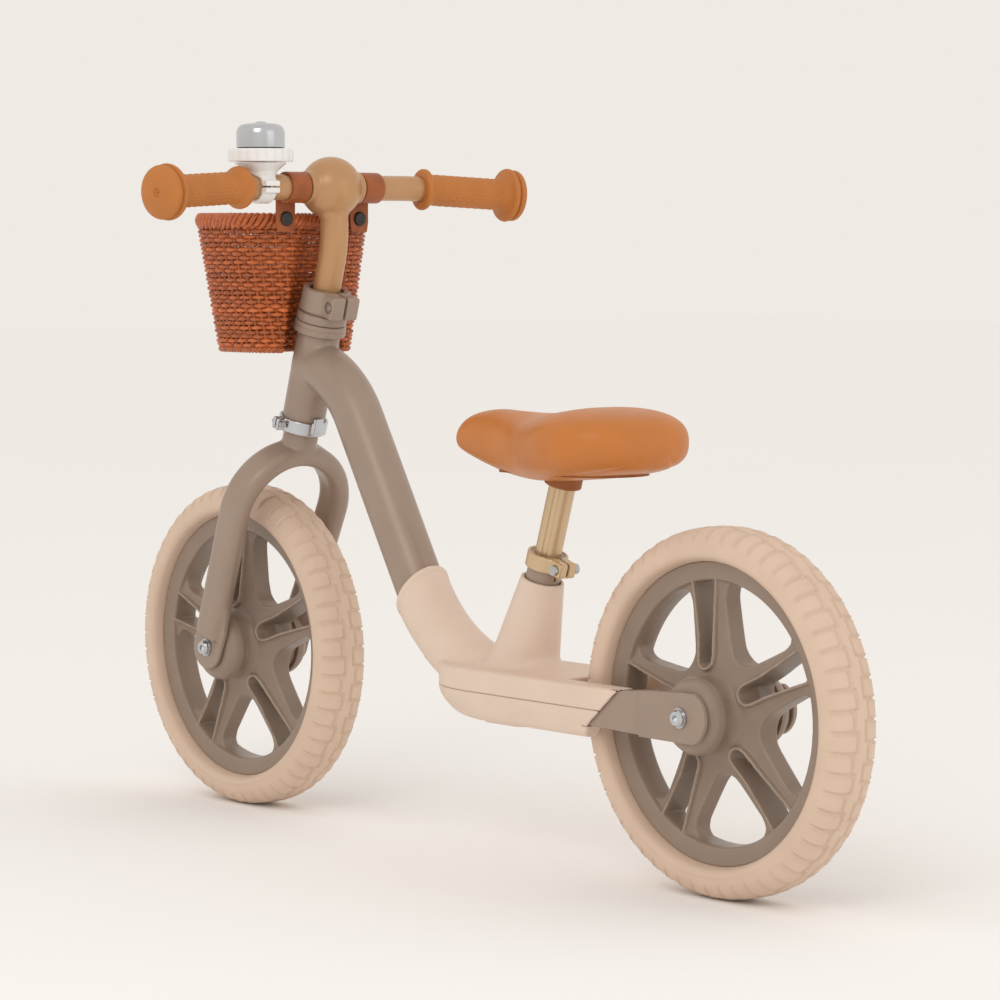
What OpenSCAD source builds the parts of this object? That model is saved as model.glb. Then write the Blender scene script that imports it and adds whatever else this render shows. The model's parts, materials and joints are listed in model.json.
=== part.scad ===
// Child's balance bike: welded steel frame, moulded covers, V-spoke wheels,
// height-adjustable saddle and handlebar, twist bell and hanging wicker basket.
// +X forward, +Y to the rider's left, +Z up. Origin on the ground, midway
// between the two axles. Millimetres.

/* [Wheels] */
// Distance between the two axles
wheelbase = 618; // [612:1:630]
// Outside diameter of the foam tyres
tyre_d = 290; // [288:1:292]
// Full width of a tyre
tyre_w = 50; // [46:1:52]
// Radius where the tyre sits on the rim
rim_r = 118.5; // [118:0.5:119]
// Half width of the rim channel
rim_half = 14.6; // [14:0.1:15]
// Number of V-shaped spokes in a wheel
spokes = 5; // [5]
// Turn of the rear wheel's spokes about its axle
rear_phase = 10; // [0:0.5:72]
// Turn of the front wheel's spokes about its axle
front_phase = 15; // [0:0.5:72]
// Radius of the hub's dust caps
cap_r = 30.6; // [29:0.2:31]

/* [Steering] */
// Lean of the steering axis from the vertical
steer_lean = 16.5; // [16:0.1:17]
// Outside radius of the head tube
head_r = 19; // [18.5:0.1:19]
// Steering travel each way, set by the limiter tab in its notch
steer_travel = 30; // [28:1:35]

/* [Fork] */
// Half width of the fork at its arch, to the middle of each leg
arch_r = 54.5; // [53:0.5:56]
// Fore-and-aft width of a fork leg
leg_w = 32; // [30:0.5:34]
// Side-to-side thickness of a fork leg
leg_t = 19; // [18:0.5:20]

/* [Frame] */
// Radius of the main tube
main_r = 21.3; // [20.5:0.1:21.5]
// Lean of the seat tube from the vertical
seat_lean = 17.4; // [17:0.1:18]
// Radius of the seat tube
seat_tube_r = 14.3; // [14.1:0.1:14.5]
// Half width of the footrest cover
foot_half = 50.5; // [50:0.5:52]

/* [Saddle] */
// Radius of the seat post
post_r = 11.1; // [11.1]
// Half width of the saddle
saddle_half = 66; // [62:1:68]

/* [Handlebar] */
// Radius of the crossbar
bar_r = 11.1; // [11.1]
// Backward sweep of the bar's ends
bar_sweep = 10; // [8:0.5:12]
// Downward slope of the bar's ends
bar_drop = 3; // [2:0.5:4]
// Radius of the stem's round head
ball_r = 27; // [26:0.5:28]
// Radius of the stem tube
stem_r = 12.25; // [12:0.05:12.4]

/* [Basket] */
// Half width of the basket at its rim
basket_half = 74; // [70:1:76]
// Height of the basket
basket_h = 122; // [118:1:124]

/* [Hidden] */
$fn = 64;

axle_z = tyre_d / 2;
rear_x = -wheelbase / 2;
front_x = wheelbase / 2;
crown = [238.6, 0, 321.5];          // crossing of steering axis and fork crown
fork_lean = atan((front_x - crown[0]) / (crown[2] - axle_z));
fork_len = sqrt(pow(front_x - crown[0], 2) + pow(crown[2] - axle_z, 2));
stem_bend_r = 118.3;
stem_bend_s = 173.8;
bar_c = [crown[0] + stem_bend_r * (1 + cos(180 - 2 * steer_lean)) * cos(steer_lean)
           - (stem_bend_s + stem_bend_r * sin(2 * steer_lean)) * sin(steer_lean),
         0,
         crown[2] + stem_bend_r * (1 + cos(180 - 2 * steer_lean)) * sin(steer_lean)
           + (stem_bend_s + stem_bend_r * sin(2 * steer_lean)) * cos(steer_lean)];
bend_y = 86;                        // where the crossbar starts to sweep back
bell_y = 76;                        // the bell's place along the bar
clamp_c = [-97, 0, 249];            // middle of the seat clamp
taupe = [0.62, 0.55, 0.49];
beige = [0.90, 0.81, 0.74];
tan_c = [0.73, 0.58, 0.42];
caramel = [0.75, 0.47, 0.22];

// ---- placing helpers -------------------------------------------------
module on_steer(s = 0) translate(crown) rotate([0, -steer_lean, 0]) translate([0, 0, s]) children();
module on_fork() translate(crown) rotate([0, 180 - fork_lean, 0]) children();   // +Z runs down to the axle
module on_seat(s = 0) translate(clamp_c) rotate([0, -seat_lean, 0]) translate([0, 0, s]) children();
module at_axle(x) translate([x, 0, axle_z]) rotate([90, 0, 0]) children();      // +Z runs to the right side
module at_bar() translate(bar_c) children();
module bar_end(side) at_bar() mirror([0, side < 0 ? 1 : 0, 0]) translate([0, bend_y, 0])
  rotate([0, 0, bar_sweep]) rotate([-90 - bar_drop, 0, 0]) children();
module both_sides() { children(); mirror([0, 1, 0]) children(); }
module ring(ro, ri, h) difference() { cylinder(r = ro, h = h); translate([0, 0, -1]) cylinder(r = ri, h = h + 2); }
module stadium(w, t) { translate([-(w - t) / 2, 0]) circle(d = t); translate([(w - t) / 2, 0]) circle(d = t); square([w - t, t], center = true); }

// Closed skin through rings of equal point count
module skin(rings) {
  n = len(rings[0]); m = len(rings);
  polyhedron(points = [for (r = rings) for (p = r) p],
    faces = concat([[for (i = [0 : n - 1]) i]],
      [for (k = [0 : m - 2]) for (i = [0 : n - 1]) [k * n + i, (k + 1) * n + i, (k + 1) * n + (i + 1) % n]],
      [for (k = [0 : m - 2]) for (i = [0 : n - 1]) [k * n + i, (k + 1) * n + (i + 1) % n, k * n + (i + 1) % n]],
      [[for (i = [n - 1 : -1 : 0]) (m - 1) * n + i]]), convexity = 6);
}
function sq(t, e) = sign(t) * pow(abs(t), e);

// ---- frame -----------------------------------------------------------
main_lean = 30.6;
main_low = [67.7, 0, 216.7];        // where the main tube starts to bend to level
main_high = [150, 0, 355.6];        // where it starts to bend towards the head tube
low_r = 150; high_r = 100;
module main_path(r, grow = 0) {
  // upper bend
  translate([main_high[0] + cos(main_lean) * high_r, 0, main_high[2] - sin(main_lean) * high_r])
    rotate([90, 0, 0]) rotate([0, 0, 105]) rotate_extrude(angle = 75 - main_lean) translate([high_r, 0]) circle(r = r);
  // straight
  translate(main_low) rotate([0, main_lean, 0]) translate([0, 0, -1]) cylinder(r = r + 0.3, h = norm(main_high - main_low) + 2);
  // lower bend
  translate([main_low[0] - cos(main_lean) * low_r, 0, main_low[2] + sin(main_lean) * low_r])
    rotate([90, 0, 0]) rotate([0, 0, -90]) rotate_extrude(angle = 90 - main_lean) translate([low_r, 0]) circle(r = r);
}
module head_tube() color(taupe) difference() {
  on_steer(26) cylinder(r = head_r, h = 86.2);
  on_steer(20) cylinder(r = 16.6, h = 100);
  // notch for the limiter tab, on the rear of the lower edge
  on_steer(25) intersection() {
    cylinder(r = 25, h = 15);
    linear_extrude(15) polygon([[0, 0], [-40 * cos(steer_travel + 11), 40 * sin(steer_travel + 11)], [-60, 0], [-40 * cos(steer_travel + 11), -40 * sin(steer_travel + 11)]]);
  }
}
module main_tube() color(taupe) difference() {
  main_path(main_r);
  main_path(main_r - 2);
  on_steer(20) cylinder(r = head_r, h = 100);
  on_steer(-20) translate([-5, -50, 0]) cube([100, 100, 200]);
  on_seat(-140) cylinder(r = seat_tube_r, h = 140);
  translate([-100, -50, 80]) cube([43, 100, 100]);
}
module seat_tube() color(taupe) difference() {
  on_seat(-130) cylinder(r = seat_tube_r, h = 136);
  on_seat(-140) cylinder(r = post_r + 0.06, h = 160);
  on_seat(-14) translate([-20, -1, 0]) cube([20, 2, 30]);
}
module yoke() color(taupe) difference() {
  union() {
    translate([-152, -47.4, 128]) cube([18, 94.8, 28]);
    translate([-136, -16, 128]) cube([56, 32, 26]);
  }
  on_seat(-140) cylinder(r = seat_tube_r, h = 200);
}
module rear_arm(side) color(taupe) mirror([0, side < 0 ? 1 : 0, 0]) difference() {
  union() {
    // pressed section from the yoke to the crease
    translate([0, 47.4, 0]) rotate([90, 0, 0]) linear_extrude(9) polygon([[-152, 128], [-152, 156], [-230, 156.8], [-240, 159.4], [-276.4, 162.8], [-276.4, 125.6], [-203, 127.4]]);
    // flattened end that carries the axle
    translate([0, 50.4, 0]) rotate([90, 0, 0]) linear_extrude(4.6) union() {
      polygon([[-262, 125.6], [-262, 161.5], [-276, 162.8], [-312, 164.6], [-312, 125.4]]);
      translate([-314.5, 145]) intersection() { circle(r = 21.5); square([50, 39.4], center = true); }
    }
  }
  translate([rear_x, 60, axle_z]) rotate([90, 0, 0]) cylinder(r = 4.05, h = 40);
}

// ---- covers ----------------------------------------------------------
// plan outline of the footrest, grown by g
module foot_plan(g) {
  b = foot_half + g;
  polygon(concat([for (a = [-90 : 7.5 : 90]) [-60 + (80 + g) * sq(cos(a), 0.92), b * sin(a)]],
                 [[-262, b], [-262, -b]]));
}
module foot_block(g, z0, z1) translate([0, 0, z0]) linear_extrude(z1 - z0) foot_plan(g);
module foot_end_cut() both_sides() translate([0, 70, 0]) rotate([90, 0, 0])
  linear_extrude(140) polygon([[-190, 110], [-203, 129.6], [-237, 159.4], [-245, 175], [-330, 175], [-330, 110]]);
module tyre_gap(g) translate([rear_x, 32 + g, axle_z]) rotate([90, 0, 0]) cylinder(r = axle_z + 6 + g, h = 64 + 2 * g);
module tongue_cut() // what lies ahead of the oblique edge where the cover hugs the main tube
  translate([0, 60, 0]) rotate([90, 0, 0]) linear_extrude(120)
    polygon([[34.7, 255.5], [82.5, 185.4], [160, 150], [160, 310], [34.7, 310]]);
module cover_outer(g) {
  foot_block(g, 117 - g, 160 + g);
  difference() {
    union() {
      translate(main_low) rotate([0, main_lean, 0]) translate([0, 0, -1]) cylinder(r = 25.7 + g, h = 60);
      translate([main_low[0] - cos(main_lean) * low_r, 0, main_low[2] + sin(main_lean) * low_r])
        rotate([90, 0, 0]) rotate([0, 0, -92]) rotate_extrude(angle = 92 - main_lean) translate([low_r, 0]) circle(r = 25.6 + g);
    }
    tongue_cut();
  }
  on_seat(-78) cylinder(r1 = 27 + g, r2 = 18 + g, h = 61.4 + g);
  on_seat(-100) cylinder(r1 = 40 + g, r2 = 27 + g, h = 22);
}
module cover_solid() difference() {
  cover_outer(0);
  foot_end_cut();
  tyre_gap(0);
}
module cover_hollow() {
  difference() { foot_block(-2.6, 119.6, 157.4); tyre_gap(2.6); }
  main_path(main_r + 0.3);
  on_seat(-140) cylinder(r = seat_tube_r + 0.8, h = 160);
}
module upper_cover() color(beige) difference() {
  cover_solid();
  cover_hollow();
  translate([-400, -100, 60]) cube([600, 200, 81]);
}
module lower_cover() color(beige) difference() {
  union() {
    intersection() {
      cover_solid();
      translate([-400, -100, 60]) cube([600, 200, 80.8]);
    }
    // raised screw boss under the belly
    translate([-56, 0, 110]) linear_extrude(8.5) stadium(62, 34);
  }
  difference() { foot_block(-2.6, 119.6, 157.4); tyre_gap(2.6); }
  main_path(main_r + 0.3);
  on_seat(-140) cylinder(r = seat_tube_r + 0.8, h = 160);
  for (x = [-72, -40]) translate([x, 0, 105]) cylinder(r = 4.2, h = 8);
  for (x = [-72, -40]) translate([x, 0, 105]) cylinder(r = 1.7, h = 20);
}
module cover_screws() color("silver") for (x = [-72, -40]) translate([x, 0, 110.6]) {
  cylinder(r = 3.9, h = 2.3);
  cylinder(r = 1.7, h = 8.8);
}

// ---- headset ---------------------------------------------------------
module headset_cup() color(taupe) on_steer(112.3) difference() {
  union() { cylinder(r = 23, h = 6.5); translate([0, 0, 6.5]) cylinder(r1 = 23, r2 = 22.4, h = 3.6); }
  translate([0, 0, -1]) cylinder(r = 16.1, h = 20);
}
module headset_bushes() color("dimgray") {
  on_steer(30) ring(16.6, 14.35, 14);
  on_steer(98) ring(16.6, 14.35, 14.2);
}
module steerer() color(taupe) difference() {
  union() {
    on_steer(4) cylinder(r = 14.3, h = 117.6);
    on_steer(4) cylinder(r = 15.6, h = 21.4);
  }
  on_steer(2) cylinder(r = stem_r + 0.06, h = 150);
}
module limiter_ring() color("gainsboro") difference() {
  union() {
    on_steer(21.6) difference() {
      cylinder(r = 21.8, h = 12);
      translate([0, 0, 4.1]) cylinder(r = head_r + 0.5, h = 20);
    }
    // tab that runs in the head tube's notch
    on_steer(25) translate([-21, -2.4, 0]) cube([3.7, 4.8, 13.6]);
    // clamping ears
    on_steer(21.6) rotate([0, 0, 84]) translate([20, -5, 0]) cube([9, 10, 12]);
  }
  on_steer(10) cylinder(r = 15.6, h = 40);
  on_steer(20) rotate([0, 0, 84]) translate([14, -1, 0]) cube([20, 2, 5.7]);
  on_steer(20) rotate([0, 0, 84]) translate([19.6, -1, 0]) cube([20, 2, 20]);
  on_steer(28) rotate([0, 0, 84]) translate([25, 0, 0]) rotate([90, 0, 0]) cylinder(r = 1.6, h = 40, center = true);
}
module limiter_screw() color("silver") on_steer(28) rotate([0, 0, 84]) translate([25, 0, 0]) rotate([90, 0, 0]) {
  translate([0, 0, -5]) cylinder(r = 1.6, h = 10.4);
  translate([0, 0, -7.6]) cylinder(r = 3, h = 2.6);
  translate([0, 0, 5]) cylinder(r = 3.2, h = 2.4, $fn = 6);
}

// ---- fork ------------------------------------------------------------
leg_splay = 2.7;
module fork_leg() // centre line runs from the arch to the flattened end
  translate([0, arch_r * cos(leg_splay), arch_r + arch_r * sin(leg_splay)]) rotate([leg_splay, 0, 0]) children();
module fork() color(taupe) difference() {
  union() {
    // arch
    on_fork() translate([0, 0, arch_r]) rotate([0, 90, 0]) rotate([0, 0, -90 - leg_splay])
      rotate_extrude(angle = 180 + 2 * leg_splay) translate([arch_r, 0]) rotate([0, 0, 90]) stadium(leg_w - 0.2, leg_t - 0.2);
    // straight legs
    for (m = [0, 1]) mirror([0, m, 0]) on_fork() fork_leg() translate([0, 0, -1]) linear_extrude(fork_len - arch_r - 25) stadium(leg_w, leg_t);
    // flattened ends
    for (m = [0, 1]) mirror([0, m, 0]) on_fork() translate([0, 50.4, 0]) rotate([90, 0, 0]) linear_extrude(4.6) {
      translate([0, fork_len]) circle(r = 19.5);
      translate([-19.5, fork_len - 30]) square([39, 30]);
      translate([-16, fork_len - 44]) square([32, 20]);
    }
  }
  on_steer(-30) cylinder(r = stem_r + 0.06, h = 60);
  on_steer(4) cylinder(r = 15.6, h = 60);
  translate([front_x, 0, axle_z]) rotate([90, 0, 0]) cylinder(r = 4.05, h = 200, center = true);
  // room for the hub between the flattened ends
  translate([front_x, 0, axle_z]) rotate([90, 0, 0]) cylinder(r = 33, h = 91.4, center = true);
}
module stem_clamp() color(taupe) difference() {
  union() {
    on_steer(122.7) cylinder(r = 22.2, h = 8);
    on_steer(130.6) cylinder(r1 = 22.2, r2 = 20.6, h = 21.6);
    on_steer(131.4) translate([-31, -15, 0]) cube([31, 30, 20.8]);
  }
  on_steer(100) cylinder(r = 14.3, h = 21.7);
  on_steer(100) cylinder(r = stem_r + 0.06, h = 60);
  // cross slit under the band and the split through the block
  on_steer(132.6) rotate([0, 0, 0]) translate([-19, 8, 0]) cube([60, 30, 1.5]);
  on_steer(132.6) translate([-40, -0.8, 0]) cube([40, 1.6, 30]);
  on_steer(142) translate([-24, 0, 0]) rotate([90, 0, 0]) cylinder(r = 2.55, h = 60, center = true);
  on_steer(142) translate([-24, -16, 0]) rotate([90, 0, 0]) cylinder(r = 4.6, h = 10, center = true);
}
module stem_clamp_bolt() color("silver") on_steer(142) translate([-24, 0, 0]) rotate([90, 0, 0]) {
  translate([0, 0, -13]) cylinder(r = 2.5, h = 24.4);
  difference() { translate([0, 0, 11]) cylinder(r = 4.4, h = 3.6); translate([0, 0, 12.8]) cylinder(r = 2.3, h = 4, $fn = 6); }
}

// ---- axles -----------------------------------------------------------
module axle(x) color("silver") at_axle(x) difference() {
  union() {
    translate([0, 0, -50]) cylinder(r = 4, h = 100);
    translate([0, 0, -36.7]) cylinder(r = 5.8, h = 73.4);
    for (m = [0, 1]) mirror([0, 0, m]) translate([0, 0, 44.2]) cylinder(r = 6.2, h = 1.5);
  }
  for (m = [0, 1]) mirror([0, 0, m]) translate([0, 0, 28]) cylinder(r = 3, h = 30);
}
module axle_bolts(x) color("silver") for (m = [0, 1]) mirror([0, m, 0]) at_axle(x) mirror([0, 0, 1]) difference() {
  union() {
    translate([0, 0, 32]) cylinder(r = 3, h = 20);
    translate([0, 0, 51.8]) cylinder(r = 6.6, h = 2.2);
    translate([0, 0, 54]) cylinder(r1 = 6.6, r2 = 5.4, h = 1.8);
  }
  translate([0, 0, 53.2]) cylinder(r = 2.9, h = 4, $fn = 6);
}
module axle_washers(x) color("silver") for (m = [0, 1]) mirror([0, m, 0]) at_axle(x) mirror([0, 0, 1])
  translate([0, 0, 50.5]) ring(8, 4.1, 1.3);

// ---- wheels ----------------------------------------------------------
function pol(r, a) = [r * cos(a), r * sin(a)];
// see-through window inside one V
module window2d() polygon([pol(46.5, 0), pol(48, 7), pol(51, 11.5), pol(57, 15.5), pol(72, 20.5), pol(90, 24.2), pol(99, 23.6), pol(103, 20.5), pol(104.6, 12), pol(105, 0),
  pol(104.6, -12), pol(103, -20.5), pol(99, -23.6), pol(90, -24.2), pol(72, -20.5), pol(57, -15.5), pol(51, -11.5), pol(48, -7)]);
// narrow slot between two Vs, grown by g
module slot2d(g) { translate([43.5, 0]) circle(r = 7 + g); polygon([[43.5, -7 - g], [43.5, 7 + g], [60, 7.2 + g], [106 + g, 12 + g], [106 + g, -12 - g], [60, -7.2 - g]]); }
module wheel(x, phase) color(taupe) at_axle(x) rotate([0, 0, phase]) difference() {
  union() {
    // rim channel
    rotate_extrude() polygon([[104, -11], [105, -12.9], [110, -14.2], [rim_r - 3, -rim_half], [rim_r, -rim_half], [rim_r, rim_half],
      [rim_r - 3, rim_half], [110, 14.2], [105, 12.9], [104, 11]]);
    // web of the spokes
    translate([0, 0, -9]) linear_extrude(18) difference() {
      circle(r = 108);
      for (i = [0 : spokes - 1]) rotate(i * 72 + 36) window2d();
    }
    // raised ribs beside the slots
    for (i = [0 : spokes - 1]) rotate([0, 0, i * 72]) translate([0, 0, -13]) linear_extrude(26) intersection() { slot2d(3.4); circle(r = 106.5); }
    // hub barrel and bearing seats
    translate([0, 0, -30]) cylinder(r = 27.4, h = 60);
    translate([0, 0, -44]) cylinder(r = 14, h = 88);
    for (m = [0, 1]) mirror([0, 0, m]) translate([0, 0, 8]) cylinder(r1 = 40, r2 = 27.4, h = 14);
  }
  for (i = [0 : spokes - 1]) rotate([0, 0, i * 72]) translate([0, 0, -25]) linear_extrude(50) intersection() { slot2d(0); circle(r = 104); }
  translate([0, 0, -60]) cylinder(r = 8, h = 120);
  for (m = [0, 1]) mirror([0, 0, m]) translate([0, 0, 37]) cylinder(r = 11, h = 20);
}
module tyre(x) color(beige) at_axle(x) rotate_extrude() difference() {
  union() {
    translate([rim_r + 4, -tyre_w / 2]) polygon([[-4, 8], [-3, 3.6], [0, 0.9], [4, 0], [12, 1.4], [18.6, 6.4], [22, 15], [22.5, 25],
      [22, 35], [18.6, 43.6], [12, 48.6], [4, 50], [0, 49.1], [-3, 46.4], [-4, 42]]);
    translate([rim_r - 0.5, -rim_half]) square([6, 2 * rim_half]);
  }
  translate([rim_r - 10, -40]) square([10, 80]);
}
module bearings(x) color("silver") for (m = [0, 1]) mirror([0, m, 0]) at_axle(x) mirror([0, 0, 1]) translate([0, 0, 37]) ring(11, 4.04, 7);
module hub_caps(x) color(taupe) for (m = [0, 1]) mirror([0, m, 0]) at_axle(x) mirror([0, 0, 1]) rotate_extrude()
  polygon([[14, 30], [cap_r, 30], [cap_r, 33], [29.8, 37], [27.6, 40.6], [24, 43.4], [20, 44.8], [9, 44.9], [9, 44], [14, 44]]);

// ---- saddle ----------------------------------------------------------
module seat_clamp() color(tan_c) on_seat(-6.5) difference() {
  union() { cylinder(r = 17, h = 13); translate([-27.5, -9.5, 0]) cube([16, 19, 13]); }
  translate([0, 0, -1]) cylinder(r = seat_tube_r, h = 20);
  translate([-40, -1.2, -1]) cube([30, 2.4, 20]);
  translate([-22, 0, 6.5]) rotate([90, 0, 0]) cylinder(r = 2.55, h = 60, center = true);
}
module seat_clamp_bolt() color("silver") on_seat(0) translate([-22, 0, 0]) rotate([90, 0, 0]) {
  translate([0, 0, -9.5]) cylinder(r = 2.5, h = 19);
  difference() { translate([0, 0, 9.5]) cylinder(r = 4.4, h = 4); translate([0, 0, 11.5]) cylinder(r = 2.2, h = 4, $fn = 6); }
  translate([0, 0, -12.7]) cylinder(r = 4.4, h = 3.2, $fn = 6);
}
module seat_post() color(tan_c) difference() {
  on_seat(-80) cylinder(r = post_r, h = 160);
  on_seat(-90) cylinder(r = post_r - 1.6, h = 200);
}
module seat_post_plug() color("dimgray") on_seat(-82.4) { cylinder(r = post_r - 0.2, h = 2.4); cylinder(r = post_r - 1.6, h = 14); }
// stations along the saddle: x, half width, underside, top, squareness
saddle_st = [[-226, 0.28, 336, 352, 2.2], [-221, 0.56, 329, 364, 2.4], [-210, 0.8, 325.5, 371.5, 2.6], [-190, 0.97, 322, 376, 2.7], [-168, 1, 319, 377, 2.7],
  [-146, 0.95, 317, 374.5, 2.6], [-120, 0.78, 315, 371, 2.5], [-92, 0.58, 314.5, 369.5, 2.4], [-64, 0.45, 317, 370, 2.3], [-38, 0.395, 322.5, 370.6, 2.3],
  [-16, 0.36, 329, 366.5, 2.3], [-4, 0.29, 333, 358.5, 2.2], [3, 0.14, 338, 349, 2.1]];
module saddle_skin(g, dz, top) skin([for (s = saddle_st) [for (i = [0 : 31])
  let (a = i * 360 / 32, w = s[1] * saddle_half - g, lo = s[2] + dz, hi = top > 0 ? min(s[3] - g, s[2] + top) : s[3])
  [s[0], w * sq(cos(a), 2 / s[4]), (lo + hi) / 2 + (hi - lo) / 2 * sq(sin(a), 2 / s[4])]]]);
module saddle_cushion() color(caramel) difference() {
  saddle_skin(0, 0, 0);
  // hollow that takes the base plate and the top of the post
  translate([0, 0, -0.6]) hull() {
    translate([-60, 0, 300]) linear_extrude(31) circle(r = 16);
    translate([-160, 0, 300]) linear_extrude(31) circle(r = 42);
  }
  on_seat(50) cylinder(r = 16, h = 34);
}
module saddle_base() color("dimgray") difference() {
  union() {
    hull() {
      translate([-60, 0, 319.5]) linear_extrude(7) circle(r = 15);
      translate([-160, 0, 322]) linear_extrude(6) circle(r = 41);
    }
    on_seat(66) cylinder(r = 15.4, h = 17.5);
  }
  on_seat(50) cylinder(r = post_r, h = 30);
  on_seat(73) rotate([90, 0, 0]) cylinder(r = 2, h = 50, center = true);
}
module saddle_bolts() color("silver") on_seat(73) for (m = [0, 1]) mirror([0, m, 0]) translate([0, post_r, 0]) rotate([-90, 0, 0]) cylinder(r = 2, h = 4.2);

// ---- handlebar -------------------------------------------------------
module stem_tube() color(tan_c) difference() {
  union() {
    on_steer(60) cylinder(r = stem_r, h = stem_bend_s - 59);
    on_steer(stem_bend_s) translate([stem_bend_r, 0, 0]) rotate([90, 0, 0]) rotate([0, 0, 180 - 2 * steer_lean + 6.6])
      rotate_extrude(angle = 2 * steer_lean - 6.6) translate([stem_bend_r, 0]) circle(r = stem_r - 0.05);
  }
  on_steer(50) cylinder(r = stem_r - 1.6, h = stem_bend_s - 49);
  on_steer(stem_bend_s) translate([stem_bend_r, 0, 0]) rotate([90, 0, 0]) rotate([0, 0, 180 - 2 * steer_lean + 5])
    rotate_extrude(angle = 2 * steer_lean - 5) translate([stem_bend_r, 0]) circle(r = stem_r - 1.7);
}
module stem_head() color(tan_c) difference() {
  union() {
    at_bar() sphere(r = ball_r);
    at_bar() rotate([90, 0, 0]) cylinder(r = 14.2, h = 58, center = true);
  }
  at_bar() rotate([90, 0, 0]) cylinder(r = bar_r, h = 80, center = true);
  on_steer(stem_bend_s) translate([stem_bend_r, 0, 0]) rotate([90, 0, 0]) rotate([0, 0, 180 - 2 * steer_lean + 6.6])
    rotate_extrude(angle = 20) translate([stem_bend_r, 0]) circle(r = stem_r);
}
module crossbar() color(tan_c) difference() {
  union() {
    at_bar() rotate([90, 0, 0]) cylinder(r = bar_r, h = 2 * bend_y, center = true);
    for (s = [-1, 1]) bar_end(s) { sphere(r = bar_r); cylinder(r = bar_r, h = 105); }
  }
  for (s = [-1, 1]) bar_end(s) translate([0, 0, 30]) cylinder(r = bar_r - 1.6, h = 90);
}
module grip(side) color(caramel) bar_end(side) rotate_extrude() polygon([
  [bar_r, 12.4], [16, 12.4], [18, 13.6], [18.5, 15.6], [18, 17.6], [16, 19], [14.2, 21], [13.7, 24], [13.7, 92], [15, 96],
  [19, 98.4], [23, 99.4], [24, 101.4], [23.6, 103.6], [21, 104.4], [20.4, 105.6], [22.6, 106.6], [23, 109], [22, 111.2], [18, 113], [10, 114.4],
  [1.2, 114.9], [1.2, 105.4], [bar_r, 105.2]]);

// ---- bell ------------------------------------------------------------
module at_bell(z) at_bar() translate([0, bell_y, z]) children();
module bell_clamp() color("white") difference() {
  union() {
    at_bell(0) rotate([90, 0, 0]) cylinder(r = 14.2, h = 15, center = true);
    at_bell(0) translate([-14.2, -7.5, -2.8]) translate([-3.6, 0, 0]) cube([6, 15, 5.6]);
  }
  at_bell(0) rotate([90, 0, 0]) cylinder(r = bar_r, h = 40, center = true);
  at_bell(0) translate([-30, -20, -0.6]) cube([25, 40, 1.2]);
  at_bell(-8) translate([-15.4, 0, 0]) cylinder(r = 1.3, h = 16);
  at_bell(2.8) translate([-15.4, 0, 0]) cylinder(r = 2.2, h = 6);
}
module bell_clamp_screw() color("silver") at_bell(0) translate([-15.4, 0, 0]) { translate([0, 0, -2.8]) cylinder(r = 1.3, h = 6); translate([0, 0, 2.8]) cylinder(r = 2.2, h = 1.6); }
module bell_base() color("white") difference() {
  union() {
    at_bell(11) cylinder(r1 = 13, r2 = 13, h = 2.4);
    at_bell(13.4) cylinder(r1 = 14, r2 = 23.6, h = 7.4);
    at_bell(20.8) cylinder(r = 6.4, h = 4);
  }
  at_bell(0) rotate([90, 0, 0]) cylinder(r = 14.2, h = 60, center = true);
  at_bell(16) cylinder(r = 2.5, h = 20);
}
module bell_spindle() color("silver") { at_bell(16) cylinder(r = 2.5, h = 36.6); at_bell(54.6) cylinder(r1 = 4.4, r2 = 3, h = 1.4); at_bell(51) cylinder(r = 2, h = 4); }
module bell_dome() color("gainsboro") at_bell(0) rotate_extrude() polygon([
  [20.9, 33.4], [20.9, 46], [20, 50], [17.6, 52.8], [13, 54.3], [2, 54.6], [2, 53.2], [12.6, 53], [16.6, 51.8], [18.8, 49.4], [19.6, 46], [19.6, 33.4]]);
module bell_ring() color("white") difference() {
  union() {
    at_bell(21.4) cylinder(r = 27, h = 11.4);
    for (i = [0 : 19]) at_bell(21.4) rotate([0, 0, i * 18]) translate([25.2, 0, 0]) cylinder(r = 3, h = 11.4, $fn = 24);
  }
  at_bell(23.4) cylinder(r = 21.5, h = 20);
  at_bell(0) cylinder(r = 6.7, h = 40);
}
module bell_clapper() color("silver") { at_bell(23.4) translate([10, -3, 0]) cube([8, 6, 3]); at_bell(26.4) translate([14.5, 0, 0]) cylinder(r = 2, h = 16); at_bell(38.4) translate([14.5, 0, 0]) cylinder(r = 3.6, h = 5); }
module bell_spring() color("silver") at_bell(24.9) ring(5.4, 2.5, 8);

// ---- basket and straps -----------------------------------------------
function basket_ring(t, g) = let (lo = 211 - 8 * t + g, hi = 303 + 15 * t - g, a = (hi - lo) / 2, b = basket_half - 19 * (1 - t) - g)
  [for (i = [0 : 47]) let (w = i * 7.5) [(lo + hi) / 2 + a * sq(cos(w), 0.62), b * sq(sin(w), 0.62), 412 + basket_h * t]];
module basket() color([0.62, 0.30, 0.16]) difference() {
  skin([basket_ring(0, 0), basket_ring(1, 0)]);
  // the rear wall bends round the head tube and stem
  on_steer(60) cylinder(r = 30, h = 200);
  difference() {
    skin([for (t = [0.045, 1.05]) basket_ring(t, 5)]);
    on_steer(60) cylinder(r = 35, h = 200);
  }
}
module strap(side) color([0.60, 0.31, 0.14]) at_bar() mirror([0, side < 0 ? 1 : 0, 0]) {
  difference() {
    union() {
      translate([0, 50.5, 0]) rotate([90, 0, 0]) cylinder(r = bar_r + 2.4, h = 20);
      translate([bar_r, 30.5, -39]) cube([2.4, 20, 39]);
    }
    translate([0, 60, 0]) rotate([90, 0, 0]) cylinder(r = bar_r, h = 40);
    translate([bar_r - 0.1, 40.5, -27]) rotate([0, 90, 0]) cylinder(r = 1.6, h = 10);
  }
}
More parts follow.
